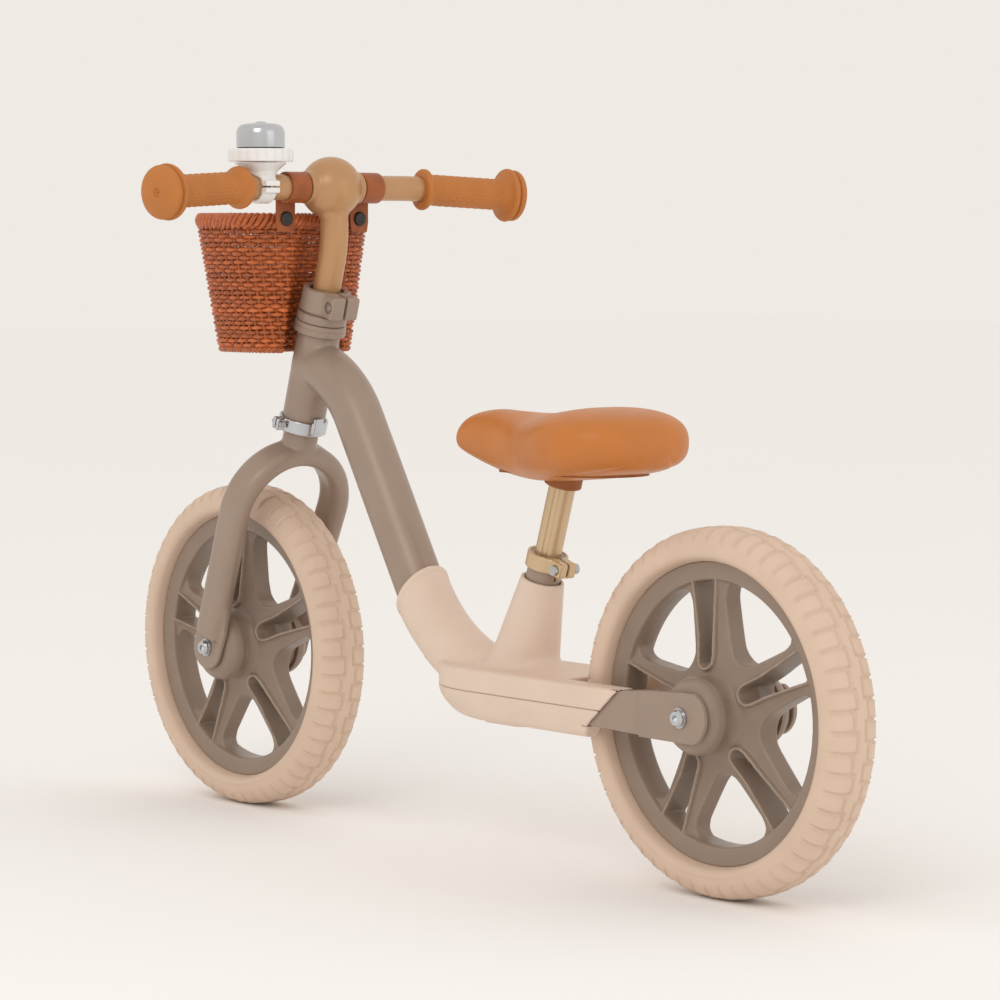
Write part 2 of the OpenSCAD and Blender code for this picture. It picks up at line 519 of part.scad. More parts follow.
module strap_studs() color("black") at_bar() for (m = [0, 1]) mirror([0, m, 0]) translate([bar_r, 40.5, -27]) rotate([0, -90, 0]) {
  cylinder(r = 6.4, h = 1.6);
  translate([0, 0, 1.6]) cylinder(r1 = 6.4, r2 = 4.6, h = 1.2);
  translate([0, 0, -2.4]) cylinder(r = 1.6, h = 2.6);
}

head_tube();
main_tube();
seat_tube();
yoke();
rear_arm(1);  // rear_arm_left
rear_arm(-1);  // rear_arm_right
upper_cover();
lower_cover();
cover_screws();
headset_cup();
headset_bushes();
seat_clamp();
seat_clamp_bolt();
axle(rear_x);  // rear_axle
axle_bolts(rear_x);  // rear_axle_bolts
axle_washers(rear_x);  // rear_washers
fork();
steerer();
limiter_ring();
limiter_screw();
stem_clamp();
stem_clamp_bolt();
axle(front_x);  // front_axle
axle_bolts(front_x);  // front_axle_bolts
axle_washers(front_x);  // front_washers
wheel(rear_x, rear_phase);  // rear_wheel
tyre(rear_x);  // rear_tyre
bearings(rear_x);  // rear_bearings
hub_caps(rear_x);  // rear_hub_caps
wheel(front_x, front_phase);  // front_wheel
tyre(front_x);  // front_tyre
bearings(front_x);  // front_bearings
hub_caps(front_x);  // front_hub_caps
seat_post();
seat_post_plug();
saddle_base();
saddle_cushion();
saddle_bolts();
stem_tube();
stem_head();
crossbar();
grip(1);  // grip_left
grip(-1);  // grip_right
bell_clamp();
bell_clamp_screw();
bell_base();
bell_spindle();
bell_dome();
bell_ring();
bell_clapper();
bell_spring();
basket();
strap(1);  // strap_left
strap(-1);  // strap_right
strap_studs();
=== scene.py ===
import bpy, bmesh, json, math
import numpy as np
from mathutils import Vector, Matrix


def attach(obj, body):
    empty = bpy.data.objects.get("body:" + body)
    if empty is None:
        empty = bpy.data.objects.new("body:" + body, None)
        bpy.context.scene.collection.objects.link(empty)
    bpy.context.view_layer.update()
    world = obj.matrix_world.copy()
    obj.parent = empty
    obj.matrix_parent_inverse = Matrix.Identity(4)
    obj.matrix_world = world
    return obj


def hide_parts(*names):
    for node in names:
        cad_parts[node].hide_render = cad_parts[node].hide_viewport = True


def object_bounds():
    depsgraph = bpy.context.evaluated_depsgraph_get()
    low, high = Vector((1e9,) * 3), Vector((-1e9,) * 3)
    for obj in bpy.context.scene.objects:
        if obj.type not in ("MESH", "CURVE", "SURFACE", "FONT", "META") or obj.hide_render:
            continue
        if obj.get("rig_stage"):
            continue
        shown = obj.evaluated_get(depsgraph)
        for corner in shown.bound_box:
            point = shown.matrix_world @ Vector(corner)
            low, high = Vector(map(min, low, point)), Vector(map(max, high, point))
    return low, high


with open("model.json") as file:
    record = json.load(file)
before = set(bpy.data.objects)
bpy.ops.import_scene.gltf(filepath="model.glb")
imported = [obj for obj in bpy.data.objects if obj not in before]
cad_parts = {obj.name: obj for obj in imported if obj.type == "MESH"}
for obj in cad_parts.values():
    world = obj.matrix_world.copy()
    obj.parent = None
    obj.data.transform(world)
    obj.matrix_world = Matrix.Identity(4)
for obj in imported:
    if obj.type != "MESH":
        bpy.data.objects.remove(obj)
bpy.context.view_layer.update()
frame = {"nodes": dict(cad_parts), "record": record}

scn = bpy.context.scene
rng = np.random.default_rng(7)

# ================================================================ camera
yaw, pitch = math.radians(-40.513), math.radians(-4.253)
fwd = Vector((math.cos(pitch) * math.cos(yaw), math.cos(pitch) * math.sin(yaw), math.sin(pitch)))
cam_data = bpy.data.cameras.new("camera")
cam_data.lens = 127.85
cam_data.sensor_width = 36.0
cam_data.sensor_fit = "HORIZONTAL"
cam_data.clip_start, cam_data.clip_end = 0.1, 50.0
cam = bpy.data.objects.new("camera", cam_data)
scn.collection.objects.link(cam)
cam.location = (-2.2727, 1.9094, 0.5134)
cam.rotation_mode = "QUATERNION"
cam.rotation_quaternion = fwd.to_track_quat("-Z", "Y")
scn.camera = cam

# ================================================================ frames of reference (mm)
AX, FX, RX = 145.0, 309.0, -309.0
CROWN = np.array([238.6, 0.0, 321.5])
STL, SEL = math.radians(16.5), math.radians(17.4)
SEATC = np.array([-97.0, 0.0, 249.0])
FLEN = math.hypot(FX - CROWN[0], CROWN[2] - AX)
FORKL = math.atan((FX - CROWN[0]) / (CROWN[2] - AX))
Rb, Sb = 118.3, 173.8
BAR = np.array([CROWN[0] + Rb * (1 + math.cos(math.pi - 2 * STL)) * math.cos(STL) - (Sb + Rb * math.sin(2 * STL)) * math.sin(STL), 0.0,
                CROWN[2] + Rb * (1 + math.cos(math.pi - 2 * STL)) * math.sin(STL) + (Sb + Rb * math.sin(2 * STL)) * math.cos(STL)])

def roty(a):
    c, s = math.cos(a), math.sin(a)
    return np.array([[c, 0, s], [0, 1, 0], [-s, 0, c]])

def rotx(a):
    c, s = math.cos(a), math.sin(a)
    return np.array([[1, 0, 0], [0, c, -s], [0, s, c]])

def rotz(a):
    c, s = math.cos(a), math.sin(a)
    return np.array([[c, -s, 0], [s, c, 0], [0, 0, 1]])

class Fr:
    """A frame of reference: columns of R are its axes, o its origin."""
    def __init__(self, R, o): self.R, self.o = np.asarray(R, float), np.asarray(o, float)
    def out(self, p): return np.asarray(p) @ self.R.T + self.o
    def into(self, p): return (np.asarray(p) - self.o) @ self.R
    def moved(self, t): return Fr(self.R, self.out(np.asarray(t, float)))
    def turned(self, R): return Fr(self.R @ R, self.o)

ROW = Fr(np.eye(3), (0, 0, 0))
STEER = Fr(roty(-STL), CROWN)
SEAT = Fr(roty(-SEL), SEATC)
FORK = Fr(roty(math.pi - FORKL), CROWN)
BARF = Fr(np.eye(3), BAR)

# ================================================================ mesh makers
def obj_from(name, verts, faces, body, mat=None, replaces=(), smooth=True, slot=None, angle=None):
    me = bpy.data.meshes.new(name)
    me.from_pydata((np.asarray(verts, float) * 0.001).tolist(), [], [list(map(int, f)) for f in faces])
    bm = bmesh.new(); bm.from_mesh(me); bmesh.ops.recalc_face_normals(bm, faces=bm.faces); bm.to_mesh(me); bm.free()
    me.update()
    o = bpy.data.objects.new(name, me)
    scn.collection.objects.link(o)
    if smooth:
        me.polygons.foreach_set("use_smooth", [True] * len(me.polygons))
        if angle:
            sharp(me, angle)
    if mat: me.materials.append(mat)
    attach(o, body)
    if replaces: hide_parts(*replaces)
    return o

def sharp(me, deg):
    bm = bmesh.new(); bm.from_mesh(me)
    lim = math.radians(deg)
    for e in bm.edges:
        if len(e.link_faces) == 2 and e.calc_face_angle(0.0) > lim: e.smooth = False
    bm.to_mesh(me); bm.free()

def join(parts):
    V, F, n = [], [], 0
    for v, f in parts:
        V.append(np.asarray(v, float)); F += [[i + n for i in g] for g in f]; n += len(v)
    return np.vstack(V), F

def rounded(poly, r, n=3, closed=False):
    """The polyline with each corner replaced by a small arc; r is one radius or one for each point."""
    P = [np.array(p, float) for p in poly]; N = len(P); out = []
    rr = r if hasattr(r, "__len__") else [r] * N
    for i in range(N):
        if not closed and i in (0, N - 1): out.append(P[i]); continue
        a, b, c = P[i - 1], P[i], P[(i + 1) % N]
        u, v = a - b, c - b
        lu, lv = np.linalg.norm(u), np.linalg.norm(v)
        if rr[i] <= 0 or lu < 1e-6 or lv < 1e-6: out.append(b); continue
        d = min(rr[i], 0.45 * lu, 0.45 * lv)
        p0, p2 = b + u / lu * d, b + v / lv * d
        for k in range(n + 1):
            t = k / n
            out.append((1 - t) ** 2 * p0 + 2 * t * (1 - t) * b + t * t * p2)
    return out

def lathe(prof, fr, segs=96, closed=False, a0=0.0, a1=2 * math.pi, rfun=None):
    """Revolves (radius, height) about fr's z axis. A closed profile makes a ring."""
    P = np.array(prof, float); full = abs(a1 - a0 - 2 * math.pi) < 1e-6
    n = segs if full else segs + 1
    A = a0 + (a1 - a0) * np.arange(n) / segs
    R = np.repeat(P[None, :, 0], n, 0)
    if rfun is not None: R = rfun(A[:, None], R, P[None, :, 1])
    X = R * np.cos(A)[:, None]; Y = R * np.sin(A)[:, None]; Z = np.repeat(P[None, :, 1], n, 0)
    V = fr.out(np.stack([X, Y, Z], -1).reshape(-1, 3)); m = len(P); F = []
    for i in range(n if full else n - 1):
        j = (i + 1) % n
        for k in range(m if closed else m - 1):
            l = (k + 1) % m
            F.append([i * m + k, j * m + k, j * m + l, i * m + l])
    return V, F

def transport(pts, closed=False):
    """Frames along a path that don't twist: unit tangent, normal and binormal at each point."""
    P = np.asarray(pts, float)
    if closed: T = np.roll(P, -1, 0) - np.roll(P, 1, 0)
    else: T = np.gradient(P, axis=0)
    T /= np.linalg.norm(T, axis=1)[:, None]
    ref = np.array([0, 0, 1.0]) if abs(T[0][2]) < 0.9 else np.array([1.0, 0, 0])
    N = [np.cross(np.cross(T[0], ref), T[0])]; N[0] /= np.linalg.norm(N[0])
    for i in range(1, len(P)):
        n = N[-1] - T[i] * np.dot(N[-1], T[i]); N.append(n / np.linalg.norm(n))
    N = np.array(N); return T, N, np.cross(T, N)

def tube(pts, r, sides=16, closed=False, caps=True, section=None, frames=None):
    """A tube along pts. r is one radius or one for each point; section is an outline in units of r."""
    P = np.asarray(pts, float); T, N, B = frames if frames is not None else transport(P, closed)
    rr = np.full(len(P), r, float) if np.isscalar(r) else np.asarray(r, float)
    if section is None:
        a = 2 * np.pi * np.arange(sides) / sides; section = np.stack([np.cos(a), np.sin(a)], 1)
    S = np.asarray(section, float); sides = len(S)
    V = P[:, None, :] + rr[:, None, None] * (S[None, :, 0, None] * N[:, None, :] + S[None, :, 1, None] * B[:, None, :])
    n = len(P); F = []
    for i in range(n if closed else n - 1):
        j = (i + 1) % n
        for k in range(sides):
            l = (k + 1) % sides
            F.append([i * sides + k, i * sides + l, j * sides + l, j * sides + k])
    V = V.reshape(-1, 3)
    if not closed and caps:
        F.append(list(range(sides))[::-1]); F.append([(n - 1) * sides + k for k in range(sides)])
    return V, F

def spline(ctrl, n, closed=False):
    """A smooth curve through the control points, evenly spaced."""
    C = np.asarray(ctrl, float); m = len(C); out = []
    idx = range(m) if closed else range(m - 1)
    for i in idx:
        p0 = C[(i - 1) % m] if closed or i > 0 else 2 * C[0] - C[1]
        p1 = C[i]; p2 = C[(i + 1) % m]
        p3 = C[(i + 2) % m] if closed or i + 2 < m else 2 * C[-1] - C[-2]
        for t in np.arange(24) / 24:
            out.append(0.5 * ((2 * p1) + (-p0 + p2) * t + (2 * p0 - 5 * p1 + 4 * p2 - p3) * t * t + (-p0 + 3 * p1 - 3 * p2 + p3) * t ** 3))
    if not closed: out.append(C[-1])
    P = np.array(out)
    Q = np.vstack([P, P[:1]]) if closed else P
    L = np.concatenate([[0], np.cumsum(np.linalg.norm(np.diff(Q, axis=0), axis=1))])
    s = np.linspace(0, L[-1], n + 1)[:-1] if closed else np.linspace(0, L[-1], n)
    return np.stack([np.interp(s, L, Q[:, k]) for k in range(C.shape[1])], 1)

# ================================================================ distance fields
def smin(a, b, k):
    h = np.clip(0.5 + 0.5 * (b - a) / k, 0, 1); return b + (a - b) * h - k * h * (1 - h)
def smax(a, b, k): return -smin(-a, -b, k)
def sd_cyl(p, r, z0, z1, rd=0.0):
    dx = np.hypot(p[..., 0], p[..., 1]) - (r - rd); dz = np.abs(p[..., 2] - (z0 + z1) / 2) - ((z1 - z0) / 2 - rd)
    return np.minimum(np.maximum(dx, dz), 0) + np.hypot(np.maximum(dx, 0), np.maximum(dz, 0)) - rd
def sd_box(p, lo, hi, rd=0.0):
    lo, hi = np.array(lo, float), np.array(hi, float)
    q = np.abs(p - (lo + hi) / 2) - ((hi - lo) / 2 - rd)
    return np.minimum(q.max(-1), 0) + np.linalg.norm(np.maximum(q, 0), axis=-1) - rd
def sd_cone(p, r0, r1, z0, z1):
    t = np.clip((p[..., 2] - z0) / (z1 - z0), 0, 1); r = r0 + (r1 - r0) * t
    d = (np.hypot(p[..., 0], p[..., 1]) - r) * math.cos(math.atan2(abs(r1 - r0), z1 - z0))
    return np.maximum(d, np.maximum(z0 - p[..., 2], p[..., 2] - z1))
def sd_path(p, pts, rr):
    """Distance to a chain of capsules whose radius changes along the way."""
    P = np.asarray(pts, float); R = np.full(len(P), rr, float) if np.isscalar(rr) else np.asarray(rr, float)
    best = np.full(p.shape[:-1], 1e9)
    for i in range(len(P) - 1):
        d = P[i + 1] - P[i]; t = np.clip(((p - P[i]) @ d) / (d @ d), 0, 1)
        q = p - P[i] - t[..., None] * d
        best = np.minimum(best, np.sqrt((q ** 2).sum(-1)) - (R[i] + (R[i + 1] - R[i]) * t))
    return best
def sd_poly(x, y, poly):
    """Signed distance to a closed outline in 2D, negative inside."""
    P = np.asarray(poly, float); d = np.full(x.shape, 1e18); s = np.ones(x.shape)
    for i in range(len(P)):
        a, b = P[i], P[i - 1]; ex, ey = b - a; wx, wy = x - a[0], y - a[1]
        t = np.clip((wx * ex + wy * ey) / (ex * ex + ey * ey), 0, 1)
        bx, by = wx - ex * t, wy - ey * t; d = np.minimum(d, bx * bx + by * by)
        c1, c2, c3 = y >= a[1], y < b[1], ex * wy > ey * wx
        s = np.where((c1 & c2 & c3) | (~c1 & ~c2 & ~c3), -s, s)
    return s * np.sqrt(d)
def extrude(d2, h, rd=0.0):
    """Combines a flat outline's distance with a slab's, rounding the edge between them by rd."""
    a, b = d2 + rd, h + rd
    return np.minimum(np.maximum(a, b), 0) + np.hypot(np.maximum(a, 0), np.maximum(b, 0)) - rd

def nets(f, lo, hi, h, project=2, block=12):
    """Closed quad mesh of the surface where f is 0, by naive surface nets on a grid of step h."""
    lo = np.array(lo, float) - 2 * h; hi = np.array(hi, float) + 2 * h
    n = np.ceil((hi - lo) / h / block).astype(int) * block + 1
    V = np.empty(n, np.float32)
    nb = (n - 1) // block
    B = np.stack(np.meshgrid(*[np.arange(k) for k in nb], indexing="ij"), -1).reshape(-1, 3)
    c = lo + (B * block + block / 2) * h
    fc = f(c)
    near = np.abs(fc) < block * h * 0.5 * 1.7321 * 1.35 + h
    for (i, j, k), v in zip(B[~near] * block, fc[~near]): V[i:i + block + 1, j:j + block + 1, k:k + block + 1] = v
    g = np.stack(np.meshgrid(*[np.arange(block + 1)] * 3, indexing="ij"), -1)
    nearB = B[near] * block
    for s in range(0, len(nearB), 220):
        bb = nearB[s:s + 220]
        pts = lo + (bb[:, None, None, None, :] + g[None]) * h
        val = f(pts.reshape(-1, 3)).reshape(len(bb), block + 1, block + 1, block + 1)
        for (i, j, k), v in zip(bb, val): V[i:i + block + 1, j:j + block + 1, k:k + block + 1] = v
    S = V < 0
    C = [V[dx:n[0] - 1 + dx, dy:n[1] - 1 + dy, dz:n[2] - 1 + dz] for dx in (0, 1) for dy in (0, 1) for dz in (0, 1)]
    cnt = sum((c < 0).astype(np.uint8) for c in C)
    cells = np.argwhere((cnt > 0) & (cnt < 8))
    idx = -np.ones(n - 1, np.int64); idx[tuple(cells.T)] = np.arange(len(cells))
    cv = np.stack([c[tuple(cells.T)] for c in C], 1).astype(float)
    off = np.array([[dx, dy, dz] for dx in (0, 1) for dy in (0, 1) for dz in (0, 1)], float)
    acc = np.zeros((len(cells), 3)); num = np.zeros(len(cells))
    for a in range(8):
        for b in range(a + 1, 8):
            if np.abs(off[a] - off[b]).sum() != 1: continue
            m = (cv[:, a] < 0) != (cv[:, b] < 0)
            t = np.where(m, cv[:, a] / np.where(m, cv[:, a] - cv[:, b], 1), 0)
            acc += m[:, None] * (off[a] + t[:, None] * (off[b] - off[a])); num += m
    P = lo + (cells + acc / num[:, None]) * h
    F = []
    for ax in range(3):
        a, b = [(1, 2), (2, 0), (0, 1)][ax]
        sl = [slice(1, -1)] * 3; sl[ax] = slice(0, n[ax] - 1)
        sh = list(sl); sh[ax] = slice(1, n[ax])
        A0, A1 = S[tuple(sl)], S[tuple(sh)]
        e = np.argwhere(A0 != A1)
        if not len(e): continue
        base = e + np.array([1, 1, 1]); base[:, ax] = e[:, ax]
        def cell(da, db):
            q = base.copy(); q[:, a] -= da; q[:, b] -= db; return idx[tuple(q.T)]
        q = np.stack([cell(1, 1), cell(0, 1), cell(0, 0), cell(1, 0)], 1)
        flip = ~A0[tuple(e.T)]
        q[flip] = q[flip][:, ::-1]
        F.append(q)
    F = np.vstack(F)
    F = F[(F >= 0).all(1)]
    eps = h * 0.25
    for _ in range(project):
        v = f(P); gr = np.stack([f(P + np.eye(3)[k] * eps) - f(P - np.eye(3)[k] * eps) for k in range(3)], 1) / (2 * eps)
        g2 = (gr ** 2).sum(1); st = np.clip(v / np.maximum(g2, 0.05), -0.5 * h, 0.5 * h)
        P = P - gr * st[:, None]
    return P, F

# ================================================================ materials
def material(name, color, rough=0.5, metal=0.0, var=0.06, vscale=35.0, bump=0.05, bscale=900.0, rvar=0.08, coat=0.0, sheen=0.0,
             stretch=(1, 1, 1), dirt=0.0, ior=1.45, extra=None, sss=0.0, bdist=0.0004):
    m = bpy.data.materials.new(name); m.use_nodes = True
    nt = m.node_tree; N, L = nt.nodes, nt.links
    b = N["Principled BSDF"]
    tc = N.new("ShaderNodeTexCoord"); mp = N.new("ShaderNodeMapping"); mp.inputs["Scale"].default_value = stretch
    L.new(tc.outputs["Object"], mp.inputs["Vector"])
    n1 = N.new("ShaderNodeTexNoise"); n1.inputs["Scale"].default_value = vscale; n1.inputs["Detail"].default_value = 5
    L.new(mp.outputs[0], n1.inputs["Vector"])
    r1 = N.new("ShaderNodeValToRGB")
    c = np.array(color); lo, hi = np.clip(c * (1 - var), 0, 1), np.clip(c * (1 + var), 0, 1)
    r1.color_ramp.elements[0].position, r1.color_ramp.elements[1].position = 0.32, 0.68
    r1.color_ramp.elements[0].color = (*lo, 1); r1.color_ramp.elements[1].color = (*hi, 1)
    L.new(n1.outputs["Fac"], r1.inputs[0])
    col = r1.outputs[0]
    if extra: col = extra(nt, mp, col)
    L.new(col, b.inputs["Base Color"])
    n2 = N.new("ShaderNodeTexNoise"); n2.inputs["Scale"].default_value = bscale; n2.inputs["Detail"].default_value = 3
    L.new(mp.outputs[0], n2.inputs["Vector"])
    bp = N.new("ShaderNodeBump"); bp.inputs["Strength"].default_value = bump; bp.inputs["Distance"].default_value = bdist
    L.new(n2.outputs["Fac"], bp.inputs["Height"]); L.new(bp.outputs[0], b.inputs["Normal"])
    rr = N.new("ShaderNodeMapRange"); rr.inputs["To Min"].default_value = max(rough - rvar, 0.03); rr.inputs["To Max"].default_value = min(rough + rvar, 1)
    n3 = N.new("ShaderNodeTexNoise"); n3.inputs["Scale"].default_value = vscale * 2.3; n3.inputs["Detail"].default_value = 3
    L.new(mp.outputs[0], n3.inputs["Vector"])
    L.new(n3.outputs["Fac"], rr.inputs[0]); L.new(rr.outputs[0], b.inputs["Roughness"])
    b.inputs["Metallic"].default_value = metal; b.inputs["IOR"].default_value = ior
    b.inputs["Coat Weight"].default_value = coat; b.inputs["Coat Roughness"].default_value = 0.15
    b.inputs["Sheen Weight"].default_value = sheen
    if sss:
        b.inputs["Subsurface Weight"].default_value = sss; b.inputs["Subsurface Radius"].default_value = (0.004, 0.0025, 0.0015)
    m["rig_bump"] = bp.name
    return m

def srgb(r, g, b):
    return tuple(((v / 255) / 12.92 if v / 255 <= 0.04045 else ((v / 255 + 0.055) / 1.055) ** 2.4) for v in (r, g, b))

def crest_highlight_paint(tint, amount=0.5, scale=60.0):
    """Lightens the crests a little: a painted highlight on the crest edges."""
    def f(nt, mp, col):
        N, L = nt.nodes, nt.links
        g = N.new("ShaderNodeNewGeometry"); rp = N.new("ShaderNodeValToRGB")
        rp.color_ramp.elements[0].position, rp.color_ramp.elements[1].position = 0.5, 0.62
        rp.color_ramp.elements[0].color = (0, 0, 0, 1); rp.color_ramp.elements[1].color = (amount, amount, amount, 1)
        L.new(g.outputs["Pointiness"], rp.inputs[0])
        mx = N.new("ShaderNodeMix"); mx.data_type = "RGBA"; mx.inputs["B"].default_value = (*tint, 1)
        mx.inputs[7].default_value = (*tint, 1)
        L.new(rp.outputs[0], mx.inputs[0]); L.new(col, mx.inputs[6])
        return mx.outputs[2]
    return f

TAUPE = srgb(160, 140, 125)
M = {}
M["paint"] = material("frame_enamel", TAUPE, rough=0.38, metal=0.15, var=0.035, vscale=18, bump=0.03, bscale=1400, rvar=0.05, coat=0.12)
# the wheel's crests get a lighter tint: a painted highlight
M["wheel"] = material("wheel_nylon", srgb(146, 127, 112), rough=0.38, var=0.05, vscale=30, bump=0.06, bscale=1500, rvar=0.07, coat=0.08, extra=crest_highlight_paint(srgb(196, 178, 162), 0.45))
M["cover"] = material("cover_plastic", srgb(226, 205, 188), rough=0.5, var=0.03, vscale=22, bump=0.05, bscale=1800, rvar=0.06, sss=0.05)
M["tyre"] = material("tyre_foam", srgb(219, 193, 172), rough=0.62, var=0.035, vscale=28, bump=0.10, bscale=1500, rvar=0.06, sss=0.08)
M["tan"] = material("bar_enamel", srgb(190, 145, 101), rough=0.34, metal=0.25, var=0.04, vscale=25, bump=0.03, bscale=1400, rvar=0.05, coat=0.15)
M["post"] = material("post_champagne", srgb(208, 182, 146), rough=0.3, metal=0.6, var=0.05, vscale=30, bump=0.03, bscale=1100, rvar=0.06, stretch=(1, 1, 0.15))
M["steel"] = material("zinc_plate", srgb(190, 190, 190), rough=0.3, metal=1.0, var=0.08, vscale=120, bump=0.05, bscale=1600, rvar=0.1)
M["chrome"] = material("polished_plate", srgb(196, 199, 203), rough=0.2, metal=1.0, var=0.06, vscale=60, bump=0.01, bscale=800, rvar=0.04)
M["dark"] = material("dark_plastic", srgb(70, 60, 52), rough=0.55, var=0.08, vscale=40, bump=0.08, bscale=1500, rvar=0.08)
M["vinyl"] = material("saddle_vinyl", srgb(197, 119, 50), rough=0.4, var=0.05, vscale=26, bump=0.32, bscale=1300, rvar=0.07, coat=0.05, bdist=0.0005)
M["grip"] = material("grip_rubber", srgb(190, 118, 54), rough=0.55, var=0.05, vscale=40, bump=0.12, bscale=1600, rvar=0.07)
M["white"] = material("bell_white", srgb(238, 238, 237), rough=0.2, var=0.02, vscale=40, bump=0.02, bscale=900, rvar=0.05, coat=0.3)
M["leather"] = material("strap_leather", srgb(158, 86, 42), rough=0.45, var=0.16, vscale=60, bump=0.35, bscale=1100, rvar=0.1, bdist=0.0004)
M["base"] = material("saddle_underside", srgb(150, 88, 40), rough=0.55, var=0.08, vscale=40, bump=0.12, bscale=1500, rvar=0.08)
M["black"] = material("stud_black", srgb(38, 36, 35), rough=0.25, var=0.1, vscale=60, bump=0.03, bscale=900, rvar=0.06, coat=0.2)

def wicker_strands(nt, mp, col):
    N, L = nt.nodes, nt.links
    a = N.new("ShaderNodeVertexColor"); a.layer_name = "strand"
    mx = N.new("ShaderNodeMix"); mx.data_type = "RGBA"; mx.blend_type = "MULTIPLY"; mx.inputs[0].default_value = 1.0
    L.new(col, mx.inputs[6]); L.new(a.outputs["Color"], mx.inputs[7])
    return mx.outputs[2]
M["wicker"] = material("willow_stained", srgb(188, 98, 46), rough=0.34, var=0.22, vscale=180, bump=0.30, bscale=700, rvar=0.1, coat=0.3,
                       stretch=(1, 1, 2.2), extra=wicker_strands, bdist=0.0005)

NODE_MAT = {"frame_paint": "paint", "wheel_plastic": "wheel", "cover_plastic": "cover", "tyre_foam": "tyre", "tan_metal": "tan", "post_metal": "post",
            "steel": "steel", "polished": "chrome", "dark_plastic": "dark", "saddle_skin": "vinyl", "grip_rubber": "grip", "bell_plastic": "white",
            "wicker": "wicker", "strap_leather": "leather", "stud_black": "black"}
for sp in frame["record"]["subparts"]:
    o = frame["nodes"].get(sp["node"])
    if o is None: continue
    o.data.materials.clear(); o.data.materials.append(M["base" if sp["node"] == "saddle_base" else NODE_MAT[sp["material_slot"]]])

def piece(name, vf, body, mat, slot, replaces=(), angle=None, **k):
    return obj_from(name, vf[0], vf[1], body, M[mat], replaces, slot=slot, angle=angle, **k)

def out(vf, fr): return fr.out(vf[0]), vf[1]
AXR = np.array([[1, 0, 0], [0, 0, -1], [0, 1, 0]], float)
def axf(x): return Fr(AXR, (x, 0, AX))

# ================================================================ wheels
def pol(r, a): return (r * math.cos(math.radians(a)), r * math.sin(math.radians(a)))
WIN = [pol(46.5, 0), pol(48, 7), pol(51, 11.5), pol(57, 15.5), pol(72, 20.5), pol(90, 24.0), pol(98, 23.6), pol(102.5, 20.5), pol(104.4, 14), pol(104.8, 0)]
WIN = rounded(WIN + [(x, -y) for x, y in WIN[::-1][1:-1]], 3.0, 3, True)
SLOT = [(36.2, 0), (37, 3.4), (39.6, 6.2), (44, 7.2), (60, 7.4), (84, 9.8), (107, 12.4)]
SLOT = SLOT + [(x, -y) for x, y in SLOT[::-1][:-1]]
HALF_RIM = [(102.6, 0), (103.0, 6), (103.6, 10.6), (104.4, 12.0), (106.0, 12.8), (107.0, 12.7), (107.6, 13.1), (115.5, 14.4), (117.8, 14.5), (118.4, 13.9), (118.5, 12.5), (118.5, 0)]
RIMP = HALF_RIM + [(r, -z) for r, z in HALF_RIM[::-1][1:-1]]

def wheel_field(phase):
    def f(p):
        x, y, z = p[:, 0], p[:, 1], np.abs(p[:, 2]); r = np.hypot(x, y)
        a = np.degrees(np.arctan2(y, x)) - phase
        a = np.abs((a + 36) % 72 - 36)
        ar = np.radians(a); ds = np.full(len(r), 20.0); dw = np.full(len(r), 20.0)
        m = (r < 112) & (z < 34)
        ds[m] = sd_poly(r[m] * np.cos(ar[m]), r[m] * np.sin(ar[m]), SLOT)
        aw = ar[m] - math.radians(36)
        dw[m] = sd_poly(r[m] * np.cos(aw), r[m] * np.sin(aw), WIN)
        w = np.clip(dw / np.maximum(dw + ds, 1e-3), 0, 1); w = np.where(ds <= 0, 1, np.where(dw <= 0, 0, w))
        crest = np.interp(r, [28, 36, 46, 62, 84, 104], [21.5, 20.5, 18.6, 16.0, 14.2, 12.6])
        low = np.interp(r, [28, 40, 52, 104], [15.0, 11.0, 8.4, 8.0])
        lip = np.clip((3.0 - ds) / 1.2, 0, 1); lip = lip * lip * (3 - 2 * lip)
        h = low + (crest - low) * np.clip(0.62 * w ** 1.5 + 0.38 * lip, 0, 1)
        d2 = np.maximum(np.maximum(-ds, -dw), r - 107)
        body = extrude(d2, (z - h) * 0.86, 1.1)
        hub = np.maximum(r - np.interp(z, [0, 8, 14, 22, 30], [40, 37, 31.5, 28.2, 27.6]), z - 30.2)
        rim = sd_poly(r, z, RIMP) if False else None
        d = smin(body, hub, 2.5)
        dr = np.full(len(r), 30.0); mr = (r > 92) & (r < 130) & (z < 26)
        dr[mr] = sd_poly(r[mr], z[mr], RIMP)
        dr[~mr] = np.maximum(np.maximum(102.6 - r[~mr], r[~mr] - 118.5), z[~mr] - 14.5)
        return smin(d, dr, 1.6)
    return f

H_W = 1.25
wv, wf = nets(wheel_field(0.0), (-119, -119, -30.5), (119, 119, 30.5), H_W, 2)
for nm, x, ph, body in (("rear", RX, 10.0, "rear_wheel"), ("front", FX, 15.0, "front_wheel")):
    fr = axf(x).turned(rotz(math.radians(ph)))
    piece(nm + "_wheel_moulding", (fr.out(wv), wf), body, "wheel", "wheel_plastic", [nm + "_wheel"])

# hub caps
CAPP = rounded([(13, 30.3), (30.4, 30.3), (30.6, 31.0), (30.6, 33.5), (29.6, 37.6), (27.2, 41.2), (23.4, 43.9), (19, 44.85), (12, 44.9), (8.5, 44.9), (8.5, 42)], 1.2, 3)
